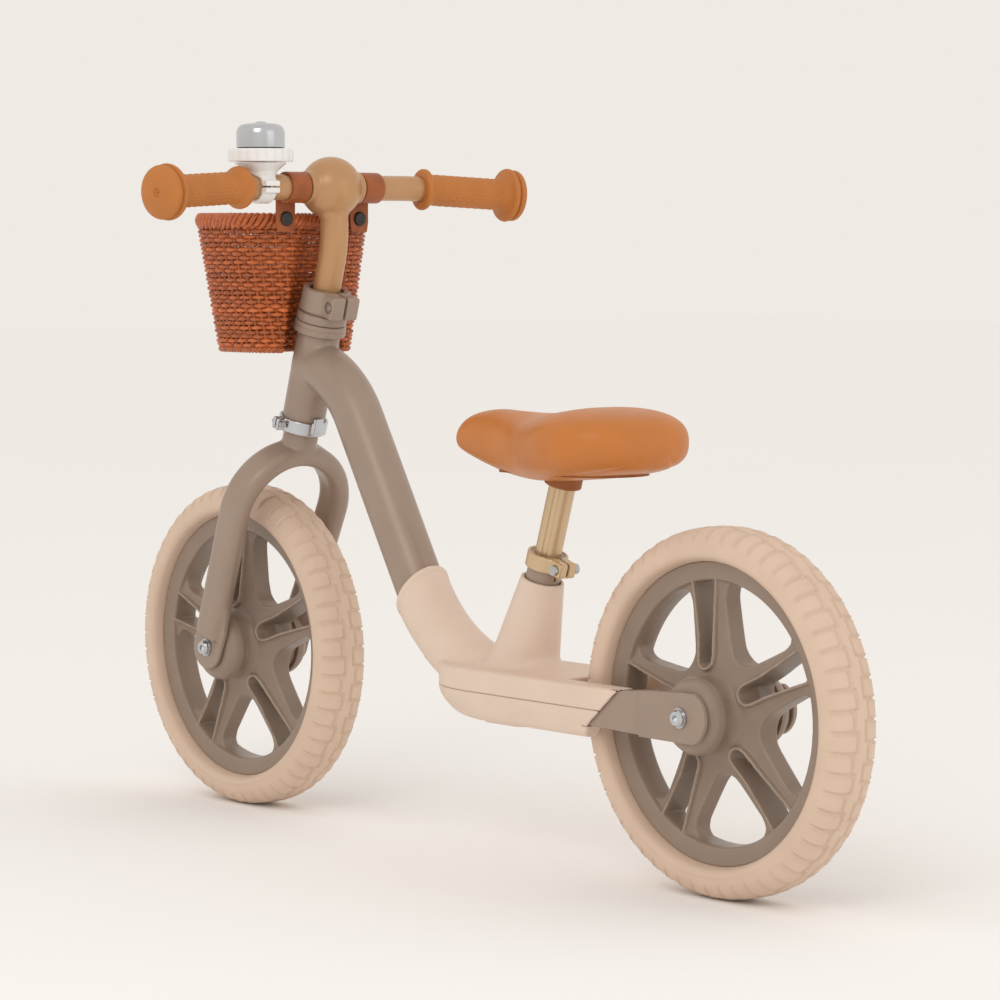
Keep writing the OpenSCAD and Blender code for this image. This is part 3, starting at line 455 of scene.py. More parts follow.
# ================================================================ tyres
TP = spline([(0, 145.0), (8, 144.7), (15, 143.2), (20.2, 139.7), (23.8, 134), (25, 127.5), (24.3, 123.2), (21.8, 120.3), (17.5, 118.7), (14.7, 118.4)], 62)
def tyre_mesh(fr, seed):
    K = 896
    half = TP; full = np.vstack([[(-y, r) for y, r in half[::-1]], half[1:]])
    v = np.concatenate([[0], np.cumsum(np.linalg.norm(np.diff(full, axis=0), axis=1))]); v -= v[-1] / 2
    nrm = np.gradient(full, axis=0); nrm = np.stack([-nrm[:, 1], nrm[:, 0]], 1); nrm /= np.linalg.norm(nrm, axis=1)[:, None]
    th = 2 * np.pi * np.arange(K) / K
    NB = 56; P = 911.0 / NB
    T, Vv = np.meshgrid(th * 145, v, indexing="ij")
    side = np.sign(Vv) + (Vv == 0)
    u = T + (side > 0) * P * 0.5
    k = np.floor(u / P).astype(int); du = u - (k + 0.5) * P; odd = (k % 2)
    v0 = 5.4 + 3.4 * odd
    a = np.abs(Vv)
    qx = np.abs(du) - (P / 2 - 1.15 - 3.2); qy = np.abs(a - (v0 + 32) / 2) - ((32 - v0) / 2 - 3.2)
    d = np.minimum(np.maximum(qx, qy), 0) + np.hypot(np.maximum(qx, 0), np.maximum(qy, 0)) - 3.2
    dc = a - (v0 - 2.3)
    dd = np.minimum(d, dc)
    st = np.clip(0.5 + dd / 1.3, 0, 1); g = st * st * (3 - 2 * st)
    fade = 1 - np.clip((a - 24) / 8, 0, 1); fade = fade * fade * (3 - 2 * fade)
    disp = -1.5 * g * fade + 0.5 * np.exp(-((dd + 0.85) / 0.6) ** 2) * fade - 0.5
    disp = disp * (a < 36)
    X = full[None, :, 0] + disp * nrm[None, :, 0]; R = full[None, :, 1] + disp * nrm[None, :, 1]
    V = np.stack([R * np.cos(th)[:, None], R * np.sin(th)[:, None], X], -1).reshape(-1, 3)
    m = len(full); F = []
    i = np.arange(K)[:, None]; j = (i + 1) % K; kk = np.arange(m)[None, :]; l = (kk + 1) % m
    F = np.stack([i * m + kk, j * m + kk, j * m + l, i * m + l], -1).reshape(-1, 4)
    return fr.out(V), F[:, ::-1]
for nm, x, body in (("rear", RX, "rear_wheel"), ("front", FX, "front_wheel")):
    piece(nm + "_tyre_tread", tyre_mesh(axf(x), 1), body, "tyre", "tyre_foam", [nm + "_tyre"])
    caps = [lathe(CAPP, axf(x), 96), lathe(CAPP, axf(x).turned(rotx(math.pi)), 96)]
    piece(nm + "_dust_caps", join(caps), body, "wheel", "wheel_plastic", [nm + "_hub_caps"], angle=50)

# ================================================================ tube frame
def path_tube():
    """The main tube's centre line: lower bend, straight stretch, upper bend."""
    c1 = np.array([-61.4, 293.05]); p1 = np.array([67.7, 216.7]); p2 = np.array([150.0, 355.6]); c2 = np.array([236.07, 304.7])
    def arc(c, p, sweep, n):
        v = p - c; a0 = math.atan2(v[1], v[0]); r = np.linalg.norm(v)
        return [c + r * np.array([math.cos(a0 + sweep * k / n), math.sin(a0 + sweep * k / n)]) for k in range(n + 1)]
    lower = arc(c1, p1, math.radians(-38), 22)[::-1]
    upper = arc(c2, p2, math.radians(-44.4), 26)
    mid = [p1 + (p2 - p1) * k / 16 for k in range(1, 16)]
    return np.array([[q[0], 0, q[1]] for q in lower + mid + upper])
TUBE = path_tube()

def frame_clip(p):
    q = STEER.into(p)
    ht = sd_cyl(q, 19.0, 26.0, 112.2, 0.7)
    tb = sd_path(p, TUBE, 21.4)
    tb = np.maximum(tb, q[:, 0] - 6.0)
    tb = np.maximum(tb, np.hypot(q[:, 0], q[:, 1]) * 0 + q[:, 2] - 111.8)
    d = smin(ht, tb, 4.5)
    d = np.maximum(d, q[:, 2] - 112.2); d = np.maximum(d, 26.0 - q[:, 2] + 0 * q[:, 0]) if False else d
    return np.maximum(d, -(np.hypot(q[:, 0], q[:, 1]) - 14.9))
H_F = 1.6
piece("frame_tube_and_head", nets(frame_clip, (40, -23, 190), (246, 23, 445), H_F, 2), "frame", "paint", "frame_paint", ["main_tube", "head_tube"])

# headset cup, steerer collar, limiter
CUP = rounded([(15.2, 112.4), (22.8, 112.4), (23.1, 113.2), (23.1, 116.6), (22.5, 117.2), (22.5, 117.9), (22.9, 118.4), (22.6, 121.6), (21.6, 122.4), (15.2, 122.4)], 0.5, 3)
piece("headset_cup_ring", lathe(CUP, STEER, 112), "frame", "paint", "frame_paint", ["headset_cup"], angle=40)

def limiter(p):
    q = STEER.into(p)
    band = np.maximum(sd_cyl(q, 21.8, 21.6, 33.6, 0.9), -(np.hypot(q[:, 0], q[:, 1]) - 19.4))
    tab = sd_box(q, (-22.8, -5.2, 24.5), (-19.4, 5.2, 38.6), 1.4)
    a = math.radians(84); Rz = rotz(a); e = q @ Rz
    ears = np.minimum(sd_box(e, (19.0, -4.6, 22.4), (29.0, -1.0, 33.0), 1.2), sd_box(e, (19.0, 1.0, 22.4), (29.0, 4.6, 33.0), 1.2))
    d = smin(smin(band, ears, 1.4), tab, 1.2)
    gap = sd_box(e, (14, -0.9, 20), (31, 0.9, 35), 0)
    return np.maximum(d, -gap)
piece("limiter_band", nets(limiter, tuple(STEER.out([(-24, -31, 20), (-24, 31, 40), (31, 31, 20), (31, -31, 40), (-24, 31, 20), (31, 31, 40)]).min(0) - 2),
      tuple(STEER.out([(-24, -31, 20), (-24, 31, 40), (31, 31, 20), (31, -31, 40), (-24, 31, 20), (31, 31, 40)]).max(0) + 2), 0.8, 2),
      "fork", "chrome", "polished", ["limiter_ring"])

# stem clamp
def stemclamp(p):
    q = STEER.into(p)
    r = np.interp(q[:, 2], [122.7, 130.7, 132.2, 152.2], [22.2, 22.2, 21.6, 20.6])
    body = np.maximum(np.hypot(q[:, 0], q[:, 1]) - r, np.abs(q[:, 2] - 137.45) - 14.75)
    body = extrude(np.hypot(q[:, 0], q[:, 1]) - r, np.abs(q[:, 2] - 137.45) - 14.75, 1.0)
    blk = sd_box(q, (-31.0, -15, 131.4), (0, 15, 152.2), 2.6)
    d = smin(body, blk, 2.0)
    d = smax(d, -(sd_box(q, (-40, -1.3, 131.0), (-8, 1.3, 160), 0)), 0.5)
    d = smax(d, -(np.maximum(np.abs(q[:, 2] - 131.4) - 0.85, 19.4 - np.hypot(q[:, 0], q[:, 1]))), 0.3)
    bx = np.hypot(q[:, 0] + 24, q[:, 2] - 142)
    d = smax(d, -np.maximum(bx - 5.2, 11.6 - np.abs(q[:, 1])), 0.4)
    return np.maximum(d, -(np.hypot(q[:, 0], q[:, 1]) - 15.3))
def boxof(fr, lo, hi, pad=2):
    c = fr.out([[x, y, z] for x in (lo[0], hi[0]) for y in (lo[1], hi[1]) for z in (lo[2], hi[2])])
    return tuple(c.min(0) - pad), tuple(c.max(0) + pad)
def fnets(f, fr, lo, hi, h): 
    """Surface nets in fr's own axes, so the grid follows the piece."""
    P, F = nets(lambda q: f(fr.out(q)), lo, hi, h, 2)
    return fr.out(P), F
piece("stem_clamp_moulding", fnets(stemclamp, STEER, (-32, -23, 121), (23, 23, 153.5), 0.8), "fork", "paint", "frame_paint", ["stem_clamp"])

# fork
ARC = 54.5; SPL = math.radians(2.7)
def fork_pts():
    """Centre line of one half of the arch in the fork's frame (x across is row y): a quarter circle from the crown to
    the top of the leg.
    """
    n = 20; pts = []
    for k in range(n + 1):
        a = math.radians(90) * k / n - 0
        pts.append((ARC * math.sin(a), ARC - ARC * math.cos(a)))
    return pts
def fork_field(p):
    q = FORK.into(p); y, z, x = np.abs(q[:, 1]), q[:, 2], q[:, 0]
    # arch: a stadium section swept round a half circle
    ang = np.arctan2(ARC - z, y); rad = np.hypot(y, ARC - z)
    u = rad - ARC
    sec = lambda a, b: np.hypot(np.maximum(np.abs(b) - 6.5, 0), a) - 9.5
    arch = sec(u, x); arch = np.where(z > ARC, 1e3, arch)
    c, s = math.cos(SPL), math.sin(SPL)
    dy = y - ARC; dz = z - ARC
    a = dy * c + dz * s; l = -dy * s + dz * c
    leg = sec(a, x); leg = np.maximum(leg, -l); leg = np.maximum(leg, l - (FLEN - ARC - 13))
    d = smin(arch, leg, 1.0)
    plate2 = np.minimum(np.hypot(x, z - FLEN) - 19.5, sd_box(np.stack([x, z, 0 * x], 1), (-19.5, FLEN - 26, -1), (19.5, FLEN, 1), 0))
    taper = np.abs(x) - np.interp(z, [FLEN - 44, FLEN - 22], [15.0, 19.5])
    plate2 = np.maximum(np.where(z < FLEN, taper, np.hypot(x, z - FLEN) - 19.5), FLEN - 44 - z)
    plate = extrude(plate2, np.abs(y - 48.1) - 2.3, 1.0)
    d = smin(d, plate, 4.0)
    st = STEER.into(p)
    neck = sd_cyl(st, 15.6, 4, 25.4, 0.8)
    d = smin(d, neck, 3.0)
    d = np.maximum(d, -(np.hypot(x, z - FLEN) - 4.3))
    return d
piece("fork_blades", fnets(fork_field, FORK, (-21, -66, -28), (21, 66, FLEN + 21), 1.35), "fork", "paint", "frame_paint", ["fork"])

# ================================================================ stem, crossbar, grips
STC = [STEER.out((0, 0, s)) for s in np.linspace(119, Sb, 18)]
sweep = math.pi / 2
for k in range(1, 25):
    a = 2 * STL * k / 24 * 0.985
    STC.append(STEER.out((Rb - Rb * math.cos(a), 0, Sb + Rb * math.sin(a))))
STC = np.array(STC)
def stem_field(p):
    d1 = sd_path(p, STC[::3], 12.25)
    b = p - BAR
    ball = np.linalg.norm(b, axis=1) - 27.0
    r = np.hypot(b[:, 0], b[:, 2])
    neck = extrude(r - 14.2, np.abs(b[:, 1]) - 29.0, 0.8)
    return smin(smin(d1, ball, 3.2), neck, 2.2)
slo, shi = (157, -30, 430), (222, 30, 584)
piece("stem_and_ball", nets(stem_field, slo, shi, 1.1, 2), "handlebar", "tan", "tan_metal", ["stem_tube", "stem_head"])

def grip_fr(side):
    """Axis out along the grip; side 1 is the left."""
    Rm = rotz(math.radians(10)) @ rotx(math.radians(-87)) @ np.eye(3)
    R = rotz(math.radians(10)) @ rotx(math.radians(-(90 + 3)))
    fr = Fr(R, BAR + np.array([0, 86.0, 0]))
    if side < 0:
        Mi = np.diag([1, -1, 1.0]); fr = Fr(Mi @ R @ np.diag([-1, 1, 1.0]), BAR - np.array([0, 86.0, 0]))
    return fr
GR = rotz(math.radians(10)) @ rotx(math.radians(-93))
def grip_frame(side):
    R, o = GR, BAR + np.array([0, 86.0, 0])
    if side > 0: return Fr(R, o)
    return Fr(np.diag([1.0, -1, 1]) @ R @ np.diag([-1.0, 1, 1]), BAR - np.array([0, 86.0, 0]))
BARC = [BAR + np.array([0, y, 0]) for y in np.linspace(-82, 82, 24)]
gl, gr = grip_frame(1), grip_frame(-1)
barpath = [gr.out((0, 0, z)) for z in (105, 60, 30, 10, 5, 2)] + BARC + [gl.out((0, 0, z)) for z in (2, 5, 10, 30, 60, 105)]
piece("crossbar_tube", tube(barpath, 11.1, 48), "handlebar", "tan", "tan_metal", ["crossbar"], angle=60)

GP = rounded([(11.3, 12.4), (16, 12.4), (18, 13.6), (18.5, 15.6), (18, 17.6), (16, 19.0), (14.2, 21), (13.7, 24)], 1.2, 3)
GB = [(13.7, z) for z in np.arange(24.6, 92.0, 0.55)]
GE = rounded([(13.7, 92), (15, 96), (19, 98.4), (23, 99.4), (24, 101.4), (23.6, 103.6), (21, 104.4), (20.4, 105.6), (22.6, 106.6), (23, 109), (22, 111.2), (18, 113), (10, 114.3), (4, 114.7), (3.4, 113.0), (0.6, 113.0)], 0.9, 3)
GPROF = [tuple(q) for q in GP] + GB + [tuple(q) for q in GE]
def grip_relief(A, R, Z):
    """Short raised dashes in rows along the grip, alternate rows shifted by half a dash."""
    rows = 26; w = 2 * math.pi / rows
    k = np.floor(A / w); da = (A - (k + 0.5) * w) / w
    pitch = 7.4; zz = (Z + (k % 2) * pitch / 2) / pitch
    dz = zz - np.floor(zz) - 0.5
    a = np.clip(1 - (np.abs(da) / 0.27) ** 4, 0, 1); b = np.clip(1 - (np.abs(dz) / 0.36) ** 6, 0, 1)
    inside = np.clip((Z - 26) / 1.5, 0, 1) * np.clip((90.5 - Z) / 1.5, 0, 1)
    return R + 0.42 * a * b * inside * (R > 13.0) - 0.12 * inside
for side, nm in ((1, "left"), (-1, "right")):
    piece("grip_%s_sleeve" % nm, lathe(GPROF, grip_frame(side), 260, rfun=grip_relief), "handlebar", "grip", "grip_rubber", ["grip_" + nm])

# ================================================================ bell
BELL = BARF.moved((0, 76, 0))
def bell_base_f(p):
    q = BELL.into(p)
    r = np.hypot(q[:, 0], q[:, 1]); z = q[:, 2]
    a = extrude(np.hypot(q[:, 0], q[:, 2]) - 14.2, np.abs(q[:, 1]) - 7.5, 0.9)
    lug = sd_box(q, (-18.4, -7.5, -5.4), (-10, 7.5, 5.4), 1.4)
    ped = np.maximum(r - np.interp(z, [9, 13.4, 20.8], [12.6, 14.2, 23.4]), np.maximum(8 - z, z - 20.6))
    d = smin(smin(a, lug, 1.2), ped, 1.8)
    d = np.maximum(d, -(np.hypot(q[:, 0], q[:, 2]) - 11.25))
    return smax(d, -sd_box(q, (-25, -9, -0.7), (-9, 9, 0.7), 0), 0.4)
piece("bell_bracket", fnets(bell_base_f, BELL, (-24, -24, -15), (24, 24, 21), 0.85), "handlebar", "white", "bell_plastic", ["bell_clamp", "bell_base"])
RP = rounded([(6.9, 21.5), (27.4, 21.5), (28.2, 22.4), (28.2, 31.6), (27.2, 32.7), (22.0, 32.7), (21.7, 31.9), (21.7, 24)], 0.8, 3)
def flute(A, R, Z):
    k = np.cos(10 * A) ** 2
    return np.where(R > 26.2, R - 1.25 * (1 - np.abs(np.cos(10 * A)) ** 0.7), R)
piece("bell_twist_ring", lathe(RP, BELL, 480, rfun=flute), "bell_ring", "white", "bell_plastic", ["bell_ring"])
DP = rounded([(19.7, 33.5), (20.9, 33.5), (20.9, 46.5), (19.9, 50.4), (17.2, 53.0), (12.5, 54.3), (5.2, 54.6), (4.6, 55.2), (3.1, 55.9), (0.4, 55.9)], 1.6, 5)
piece("bell_dome_shell", lathe(DP, BELL, 160), "handlebar", "chrome", "polished", ["bell_dome", "bell_spindle"])

# ================================================================ straps
def strap(side):
    T, W = 2.3, 20.0; b = BAR
    # centre line in the xz plane: tab up the front, once round the bar, ending behind the tab
    pts = [(12.3, -38.4), (12.3, -30), (12.3, -20), (12.3, -8)]
    for k in range(0, 33): a = k / 32 * 1.86 * math.pi; pts.append((12.35 * math.cos(a), 12.35 * math.sin(a)))
    P = np.array(pts); tt = np.gradient(P, axis=0); tt /= np.linalg.norm(tt, axis=1)[:, None]; nn = np.stack([-tt[:, 1], tt[:, 0]], 1)
    sec = rounded([(-T / 2, -W / 2), (T / 2, -W / 2), (T / 2, W / 2), (-T / 2, W / 2)], 0.55, 3, True)
    V, F = [], []; m = len(sec)
    for i in range(len(P)):
        e = 1.0
        if i == 0: e = 0.86
        for s in sec: V.append((b[0] + P[i, 0] + nn[i, 0] * s[0], side * (40.5 + s[1] * e), b[2] + P[i, 1] + nn[i, 1] * s[0]))
    for i in range(len(P) - 1):
        for k in range(m):
            l = (k + 1) % m; F.append([i * m + k, i * m + l, (i + 1) * m + l, (i + 1) * m + k])
    F.append(list(range(m))[::-1]); F.append([(len(P) - 1) * m + k for k in range(m)])
    if side < 0: F = [f[::-1] for f in F]
    return np.array(V), F
STUD = rounded([(1.6, 2.0), (1.6, 0.0), (6.4, 0.0), (6.4, 1.3), (5.9, 2.3), (4.8, 2.85), (3.3, 2.95), (2.9, 2.5), (0.2, 2.4)], 0.5, 3)
studs = []
for side, nm in ((1, "left"), (-1, "right")):
    piece("strap_%s_band" % nm, strap(side), "handlebar", "leather", "strap_leather", ["strap_" + nm], angle=45)
    fr = Fr(np.array([[0, 0, -1], [0, 1, 0], [1, 0, 0]], float), BAR + np.array([11.1, side * 40.5, -27]))
    studs.append(lathe(STUD, fr, 48))
piece("strap_snap_caps", join(studs), "handlebar", "black", "stud_black", ["strap_studs"], angle=50)

# ================================================================ basket
STG_X = lambda z: CROWN[0] - (z - CROWN[2]) * math.tan(STL)
def basket_outline(z, off, n):
    """Closed plan of the basket at height z, set in by off, with its rear pressed in round the stem; evenly spaced."""
    t = (z - 412) / 122
    lo, hi, b = 211 - 8 * t + off, 303 + 15 * t - off, 74 - 19 * (1 - t) - off
    w = np.linspace(0, 2 * np.pi, 721)[:-1]
    sq = lambda v: np.sign(v) * np.abs(v) ** 0.62
    x = (lo + hi) / 2 + (hi - lo) / 2 * sq(np.cos(w)); y = b * sq(np.sin(w))
    cx = STG_X(z); R = 30.0 + off + 0.4
    # round dent, blended into the wall
    dx = (x - cx) * math.cos(STL); d = np.hypot(dx, y)
    a = np.arctan2(y, dx)
    dd = R * np.sqrt(1 - np.clip(np.abs(y) / R, 0, 1) ** 2)
    push = cx + dd / math.cos(STL)
    k = 5.0
    rear = x < (lo + hi) / 2
    h = np.clip(0.5 + 0.5 * (push - x) / k, 0, 1); sm = x + (push - x) * h + k * h * (1 - h)
    x = np.where(rear & (np.abs(y) < R), np.maximum(x, np.where(np.abs(y) < R, sm, x)), x)
    x = np.minimum(x, hi)
    P = np.stack([x, y], 1)
    # smooth the ring a little so the strands bend and don't kink
    for _ in range(14): P = 0.5 * P + 0.25 * (np.roll(P, 1, 0) + np.roll(P, -1, 0))
    Q = np.vstack([P, P[:1]]); L = np.concatenate([[0], np.cumsum(np.linalg.norm(np.diff(Q, axis=0), axis=1))])
    s = np.linspace(0, L[-1], n + 1)[:-1]
    return np.stack([np.interp(s, L, Q[:, 0]), np.interp(s, L, Q[:, 1])], 1), L[-1]

SC = []          # (verts, faces, tint per strand)
def strand(pts, r, tint, closed=True, sides=7, section=None):
    v, f = tube(pts, r, sides, closed, caps=not closed, section=section); SC.append((v, f, tint))
NST = 54; NP = NST * 8
Z0, Z1 = 416.0, 519.0
rows = 27
flat = [(math.cos(a) * 1.0, math.sin(a) * 0.95) for a in np.linspace(0, 2 * math.pi, 9)[:-1]]
def wall(z, off): return basket_outline(z, off, NP)
for i in range(rows):
    z = Z0 + (Z1 - Z0) * (i + 0.5) / rows
    P, L = wall(z, 2.45)
    T = np.roll(P, -1, 0) - np.roll(P, 1, 0); T /= np.linalg.norm(T, axis=1)[:, None]
    Nn = np.stack([T[:, 1], -T[:, 0]], 1)
    ph = 0.0 if i % 2 else math.pi
    amp = 1.7 * np.cos(np.arange(NP) / NP * NST * math.pi + ph)
    wob = 0.35 * np.sin(np.arange(NP) / NP * 2 * math.pi * 3 + i * 1.7) + 0.2 * np.sin(np.arange(NP) / NP * 2 * math.pi * 11 + i)
    pts = np.stack([P[:, 0] + Nn[:, 0] * amp, P[:, 1] + Nn[:, 1] * amp, z + wob], 1)
    tint = 0.72 + 0.5 * rng.random()
    strand(pts, 1.72 + 0.2 * rng.random(), tint, True, 8)
# stakes, with a random tint kept darker than the weavers': painted shade for the gaps between the weaver rows
for k in range(NST):
    idx = (k * NP // NST) 
    pts = []
    for z in np.linspace(413.5, 523, 14):
        P, L = wall(z, 2.45)
        pts.append((P[idx, 0], P[idx, 1], z))
    strand(np.array(pts), 1.45, 0.6 + 0.25 * rng.random(), False, 7)
# plaited rim and foot border: three strands twisted about a common core
def border(zc, off, rad, rs, turns, n, tint, flatz=1.0):
    P, L = basket_outline(zc, off, NST * 14)
    T = np.roll(P, -1, 0) - np.roll(P, 1, 0); T /= np.linalg.norm(T, axis=1)[:, None]
    Nn = np.stack([T[:, 1], -T[:, 0]], 1); m = len(P); ph0 = np.arange(m) / m * 2 * math.pi * turns
    for j in range(n):
        a = ph0 + 2 * math.pi * j / n
        pts = np.stack([P[:, 0] + Nn[:, 0] * rad * np.cos(a), P[:, 1] + Nn[:, 1] * rad * np.cos(a), zc + flatz * rad * np.sin(a)], 1)
        strand(pts, rs, tint * (0.85 + 0.35 * rng.random()), True, 8)
border(527.0, 3.2, 2.5, 2.4, 26, 3, 0.95, 1.75)
border(522.2, 2.9, 1.5, 1.9, 33, 2, 0.85, 1.2)
border(413.9, 2.7, 1.5, 1.7, 30, 3, 0.8, 0.9)
# floor: radial and cross canes
for k, y in enumerate(np.arange(-48, 49, 5.2)):
    P, L = basket_outline(415.0, 4.5, 360)
    near = P[np.abs(P[:, 1] - y) < 2.2]
    if len(near) < 2: continue
    xa, xb = near[:, 0].min(), near[:, 0].max()
    n = 24; xs = np.linspace(xa, xb, n)
    strand(np.stack([xs, np.full(n, y), 415.2 + 1.1 * np.cos(np.arange(n) * math.pi / 2.0 + k * math.pi)], 1), 1.7, 0.7 + 0.3 * rng.random(), False, 7)
for k, x in enumerate(np.arange(250, 300, 7.4)):
    n = 40; P, L = basket_outline(415.0, 4.5, 360)
    near = P[(np.abs(P[:, 0] - x) < 2.0)]
    if len(near) < 2: continue
    ya, yb = near[:, 1].min(), near[:, 1].max()
    ys = np.linspace(ya, yb, n)
    strand(np.stack([np.full(n, x), ys, 415.2 - 0.9 * np.cos(np.arange(n) * math.pi / 2.6 + k * math.pi)], 1), 1.7, 0.7 + 0.3 * rng.random(), False, 7)
bv, bf = join([(v, f) for v, f, t in SC])
basket_obj = piece("basket_weave", (bv, bf), "handlebar", "wicker", "wicker", ["basket"])
at = basket_obj.data.color_attributes.new("strand", "FLOAT_COLOR", "POINT")
cols = np.concatenate([np.tile([t, t * (0.93 + 0.07 * t), t * (0.88 + 0.1 * t), 1.0], (len(v), 1)) for v, f, t in SC])
if len(cols) == len(basket_obj.data.vertices): at.data.foreach_set("color", cols.astype(np.float32).ravel())

# ================================================================ covers
def lowpath():
    """Centre line of the lower bend only, carried on along the straight stretch."""
    c1 = np.array([-61.4, 293.05]); p1 = np.array([67.7, 216.7]); v = p1 - c1; a0 = math.atan2(v[1], v[0]); r = np.linalg.norm(v)
    pts = [c1 + r * np.array([math.cos(a0 - math.radians(62) * k / 14), math.sin(a0 - math.radians(62) * k / 14)]) for k in range(15)][::-1]
    d = np.array([math.sin(math.radians(30.6)), math.cos(math.radians(30.6))])
    return np.array([[q[0], 0, q[1]] for q in pts + [p1 + d * 30, p1 + d * 60]])
LOWP = lowpath()
def plan_d(x, y):
    """Distance from the footrest's plan outline: half an ellipse ahead of straight sides."""
    xe = np.maximum(x + 60, 0) / 80; ye = np.abs(y) / 50.5
    r = (xe ** 2.17 + ye ** 2) ** 0.5
    ell = (r - 1) * np.where(xe > 0, 50.5 + 24 * np.clip(xe, 0, 1), 50.5)
    return np.where(x > -60, np.minimum(ell, 60), np.abs(y) - 50.5)
E1 = np.array([34.7, 255.5]); E2 = np.array([82.5, 185.4]); ED = (E2 - E1) / np.linalg.norm(E2 - E1); EN = np.array([-ED[1], ED[0]])
def cover_shape(p):
    x, y, z = p[:, 0], p[:, 1], p[:, 2]
    pd = plan_d(x, y)
    # sides lean in toward the belly, nose is rounded
    zc = np.clip((141 - z) / 24, 0, 1)
    foot = extrude(pd + 5.5 * zc ** 2.4 + 22 * zc ** 2.0 * np.clip((x + 60) / 80, 0, 1), np.abs(z - 138.5) - 21.5, 5.0)
    foot = smax(foot, z - 160.0, 2.0)
    s = p @ np.array([0, 0, 1.0])
    cut = (x - E1[0]) * EN[0] + (z - E1[1]) * EN[1]
    cut = np.where(((0 - E1[0]) * EN[0] + (150 - E1[1]) * EN[1]) < 0, cut, -cut)
    tb = sd_path(p, LOWP, 25.6)
    tb = smax(tb, cut, 1.6)
    q = SEAT.into(p); r = np.hypot(q[:, 0], q[:, 1])
    cone = np.maximum(r - np.interp(q[:, 2], [-100, -78, -16.6], [33, 27, 18]), np.maximum(q[:, 2] + 16.6, -100 - q[:, 2]))
    cone = smax(r - np.interp(q[:, 2], [-100, -78, -16.6], [33, 27, 18]), q[:, 2] + 16.6, 1.2)
    cone = np.maximum(cone, -100 - q[:, 2])
    top = smin(foot, cone, 8.0 + 26.0 * np.clip((-92 - x) / 26, 0, 1))
    d = smin(top, tb, 5.0)
    # raised border round the tongue with a fine groove inside it
    dist = -cut
    on = (z > 158) & (x > -40)
    g = np.exp(-((dist - 5.6) / 1.15) ** 2)
    d = d + np.where(on, 1.0 * g, 0)
    d = d + np.where(on & (dist > 5.6), 0.5, 0) * np.clip((dist - 5.6) / 1.0, 0, 1)
    # ledge line round the footrest's top, where the pad meets the rolled side
    pl = -plan_d(x, y)
    led = np.exp(-((pl - 6.4) / 0.8) ** 2) * (z > 156) * (x < 6)
    d = d + 0.35 * led * (np.abs(foot) < 6)
    return d
def rear_cut(x, z):
    xs = np.interp(z, [110, 129.6, 159.4, 175], [-190, -203, -237, -245]); return xs - x
def common(p):
    x, y, z = p[:, 0], p[:, 1], p[:, 2]
    d = cover_shape(p)
    d = smax(d, rear_cut(x, z) * 0.84, 0.8)
    gap = np.maximum(np.hypot(x - RX, z - AX) - 151.0, np.abs(y) - 32)
    d = smax(d, -gap, 1.0)
    cut = np.abs((x - E1[0]) * EN[0] + (z - E1[1]) * EN[1])
    d = np.maximum(d, -np.maximum(sd_path(p, TUBE[::3], 21.8), cut - 9))
    q = SEAT.into(p); d = np.maximum(d, -(np.hypot(q[:, 0], q[:, 1]) - 15.1))
    return d
def arm_hollow(p):
    """Room for the arm where it enters the rear of the cover."""
    x, y, z = p[:, 0], p[:, 1], p[:, 2]
    return np.maximum(np.maximum(np.abs(np.abs(y) - 42.9) - 5.0, np.abs(z - 142.6) - 15.6), -rear_cut(x, z) - 7)
def upper(p):
    d = common(p); d = smax(d, 141.05 - p[:, 2], 0.5); return np.maximum(d, -arm_hollow(p))
def lower(p):
    x, y, z = p[:, 0], p[:, 1], p[:, 2]
    d = common(p)
    bx = np.maximum(np.abs(x + 56) - 14.0, 0); st = np.hypot(bx, y) - np.interp(z, [110, 118.5], [15.2, 17])
    boss = extrude(st, np.abs(z - 114.5) - 4.4, 1.6)
    d = smin(d, boss, 2.6)
    d = smax(d, z - 140.75, 0.5)
    for sx in (-72, -40): d = smax(d, -np.maximum(np.hypot(x - sx, y) - 4.2, z - 113), 0.4)
    return np.maximum(d, -arm_hollow(p))
H_C = 1.25
piece("footrest_upper_shell", nets(upper, (-245, -51, 140.5), (72, 51, 258), H_C, 2), "frame", "cover", "cover_plastic", ["upper_cover"])
piece("footrest_lower_shell", nets(lower, (-216, -51, 109.5), (22, 51, 141.5), H_C, 2), "frame", "cover", "cover_plastic", ["lower_cover"])

# ================================================================ rear arms
def arm_f(p):
    x, y, z = p[:, 0], np.abs(p[:, 1]), p[:, 2]
    poly = [(-152, 128), (-152, 156), (-230, 156.8), (-240, 159.4), (-276.4, 162.8), (-276.4, 125.6), (-203, 127.4)]
    a = extrude(sd_poly(x, z, poly), np.abs(y - 42.9) - 4.5, 2.2)
    e2 = np.minimum(sd_poly(x, z, [(-262, 125.6), (-262, 161.5), (-276, 162.8), (-312, 164.6), (-312, 125.4)]),
                    np.maximum(np.hypot(x + 314.5, z - 145) - 21.5, np.abs(z - 145) - 19.7))
    e = extrude(smax(e2, -1e3 + 0 * e2, 1), np.abs(y - 48.1) - 2.3, 0.9)
    d = smin(a, e, 3.0)
    return np.maximum(d, -(np.hypot(x - RX, z - AX) - 4.1))
for side, nm in ((1, "left"), (-1, "right")):
    lo, hi = (-337, 37 if side > 0 else -51, 124), (-151, 51 if side > 0 else -37, 166)
    piece("rear_arm_%s_pressing" % nm, nets(arm_f, lo, hi, 0.9, 2), "frame", "paint", "frame_paint", ["rear_arm_" + nm])

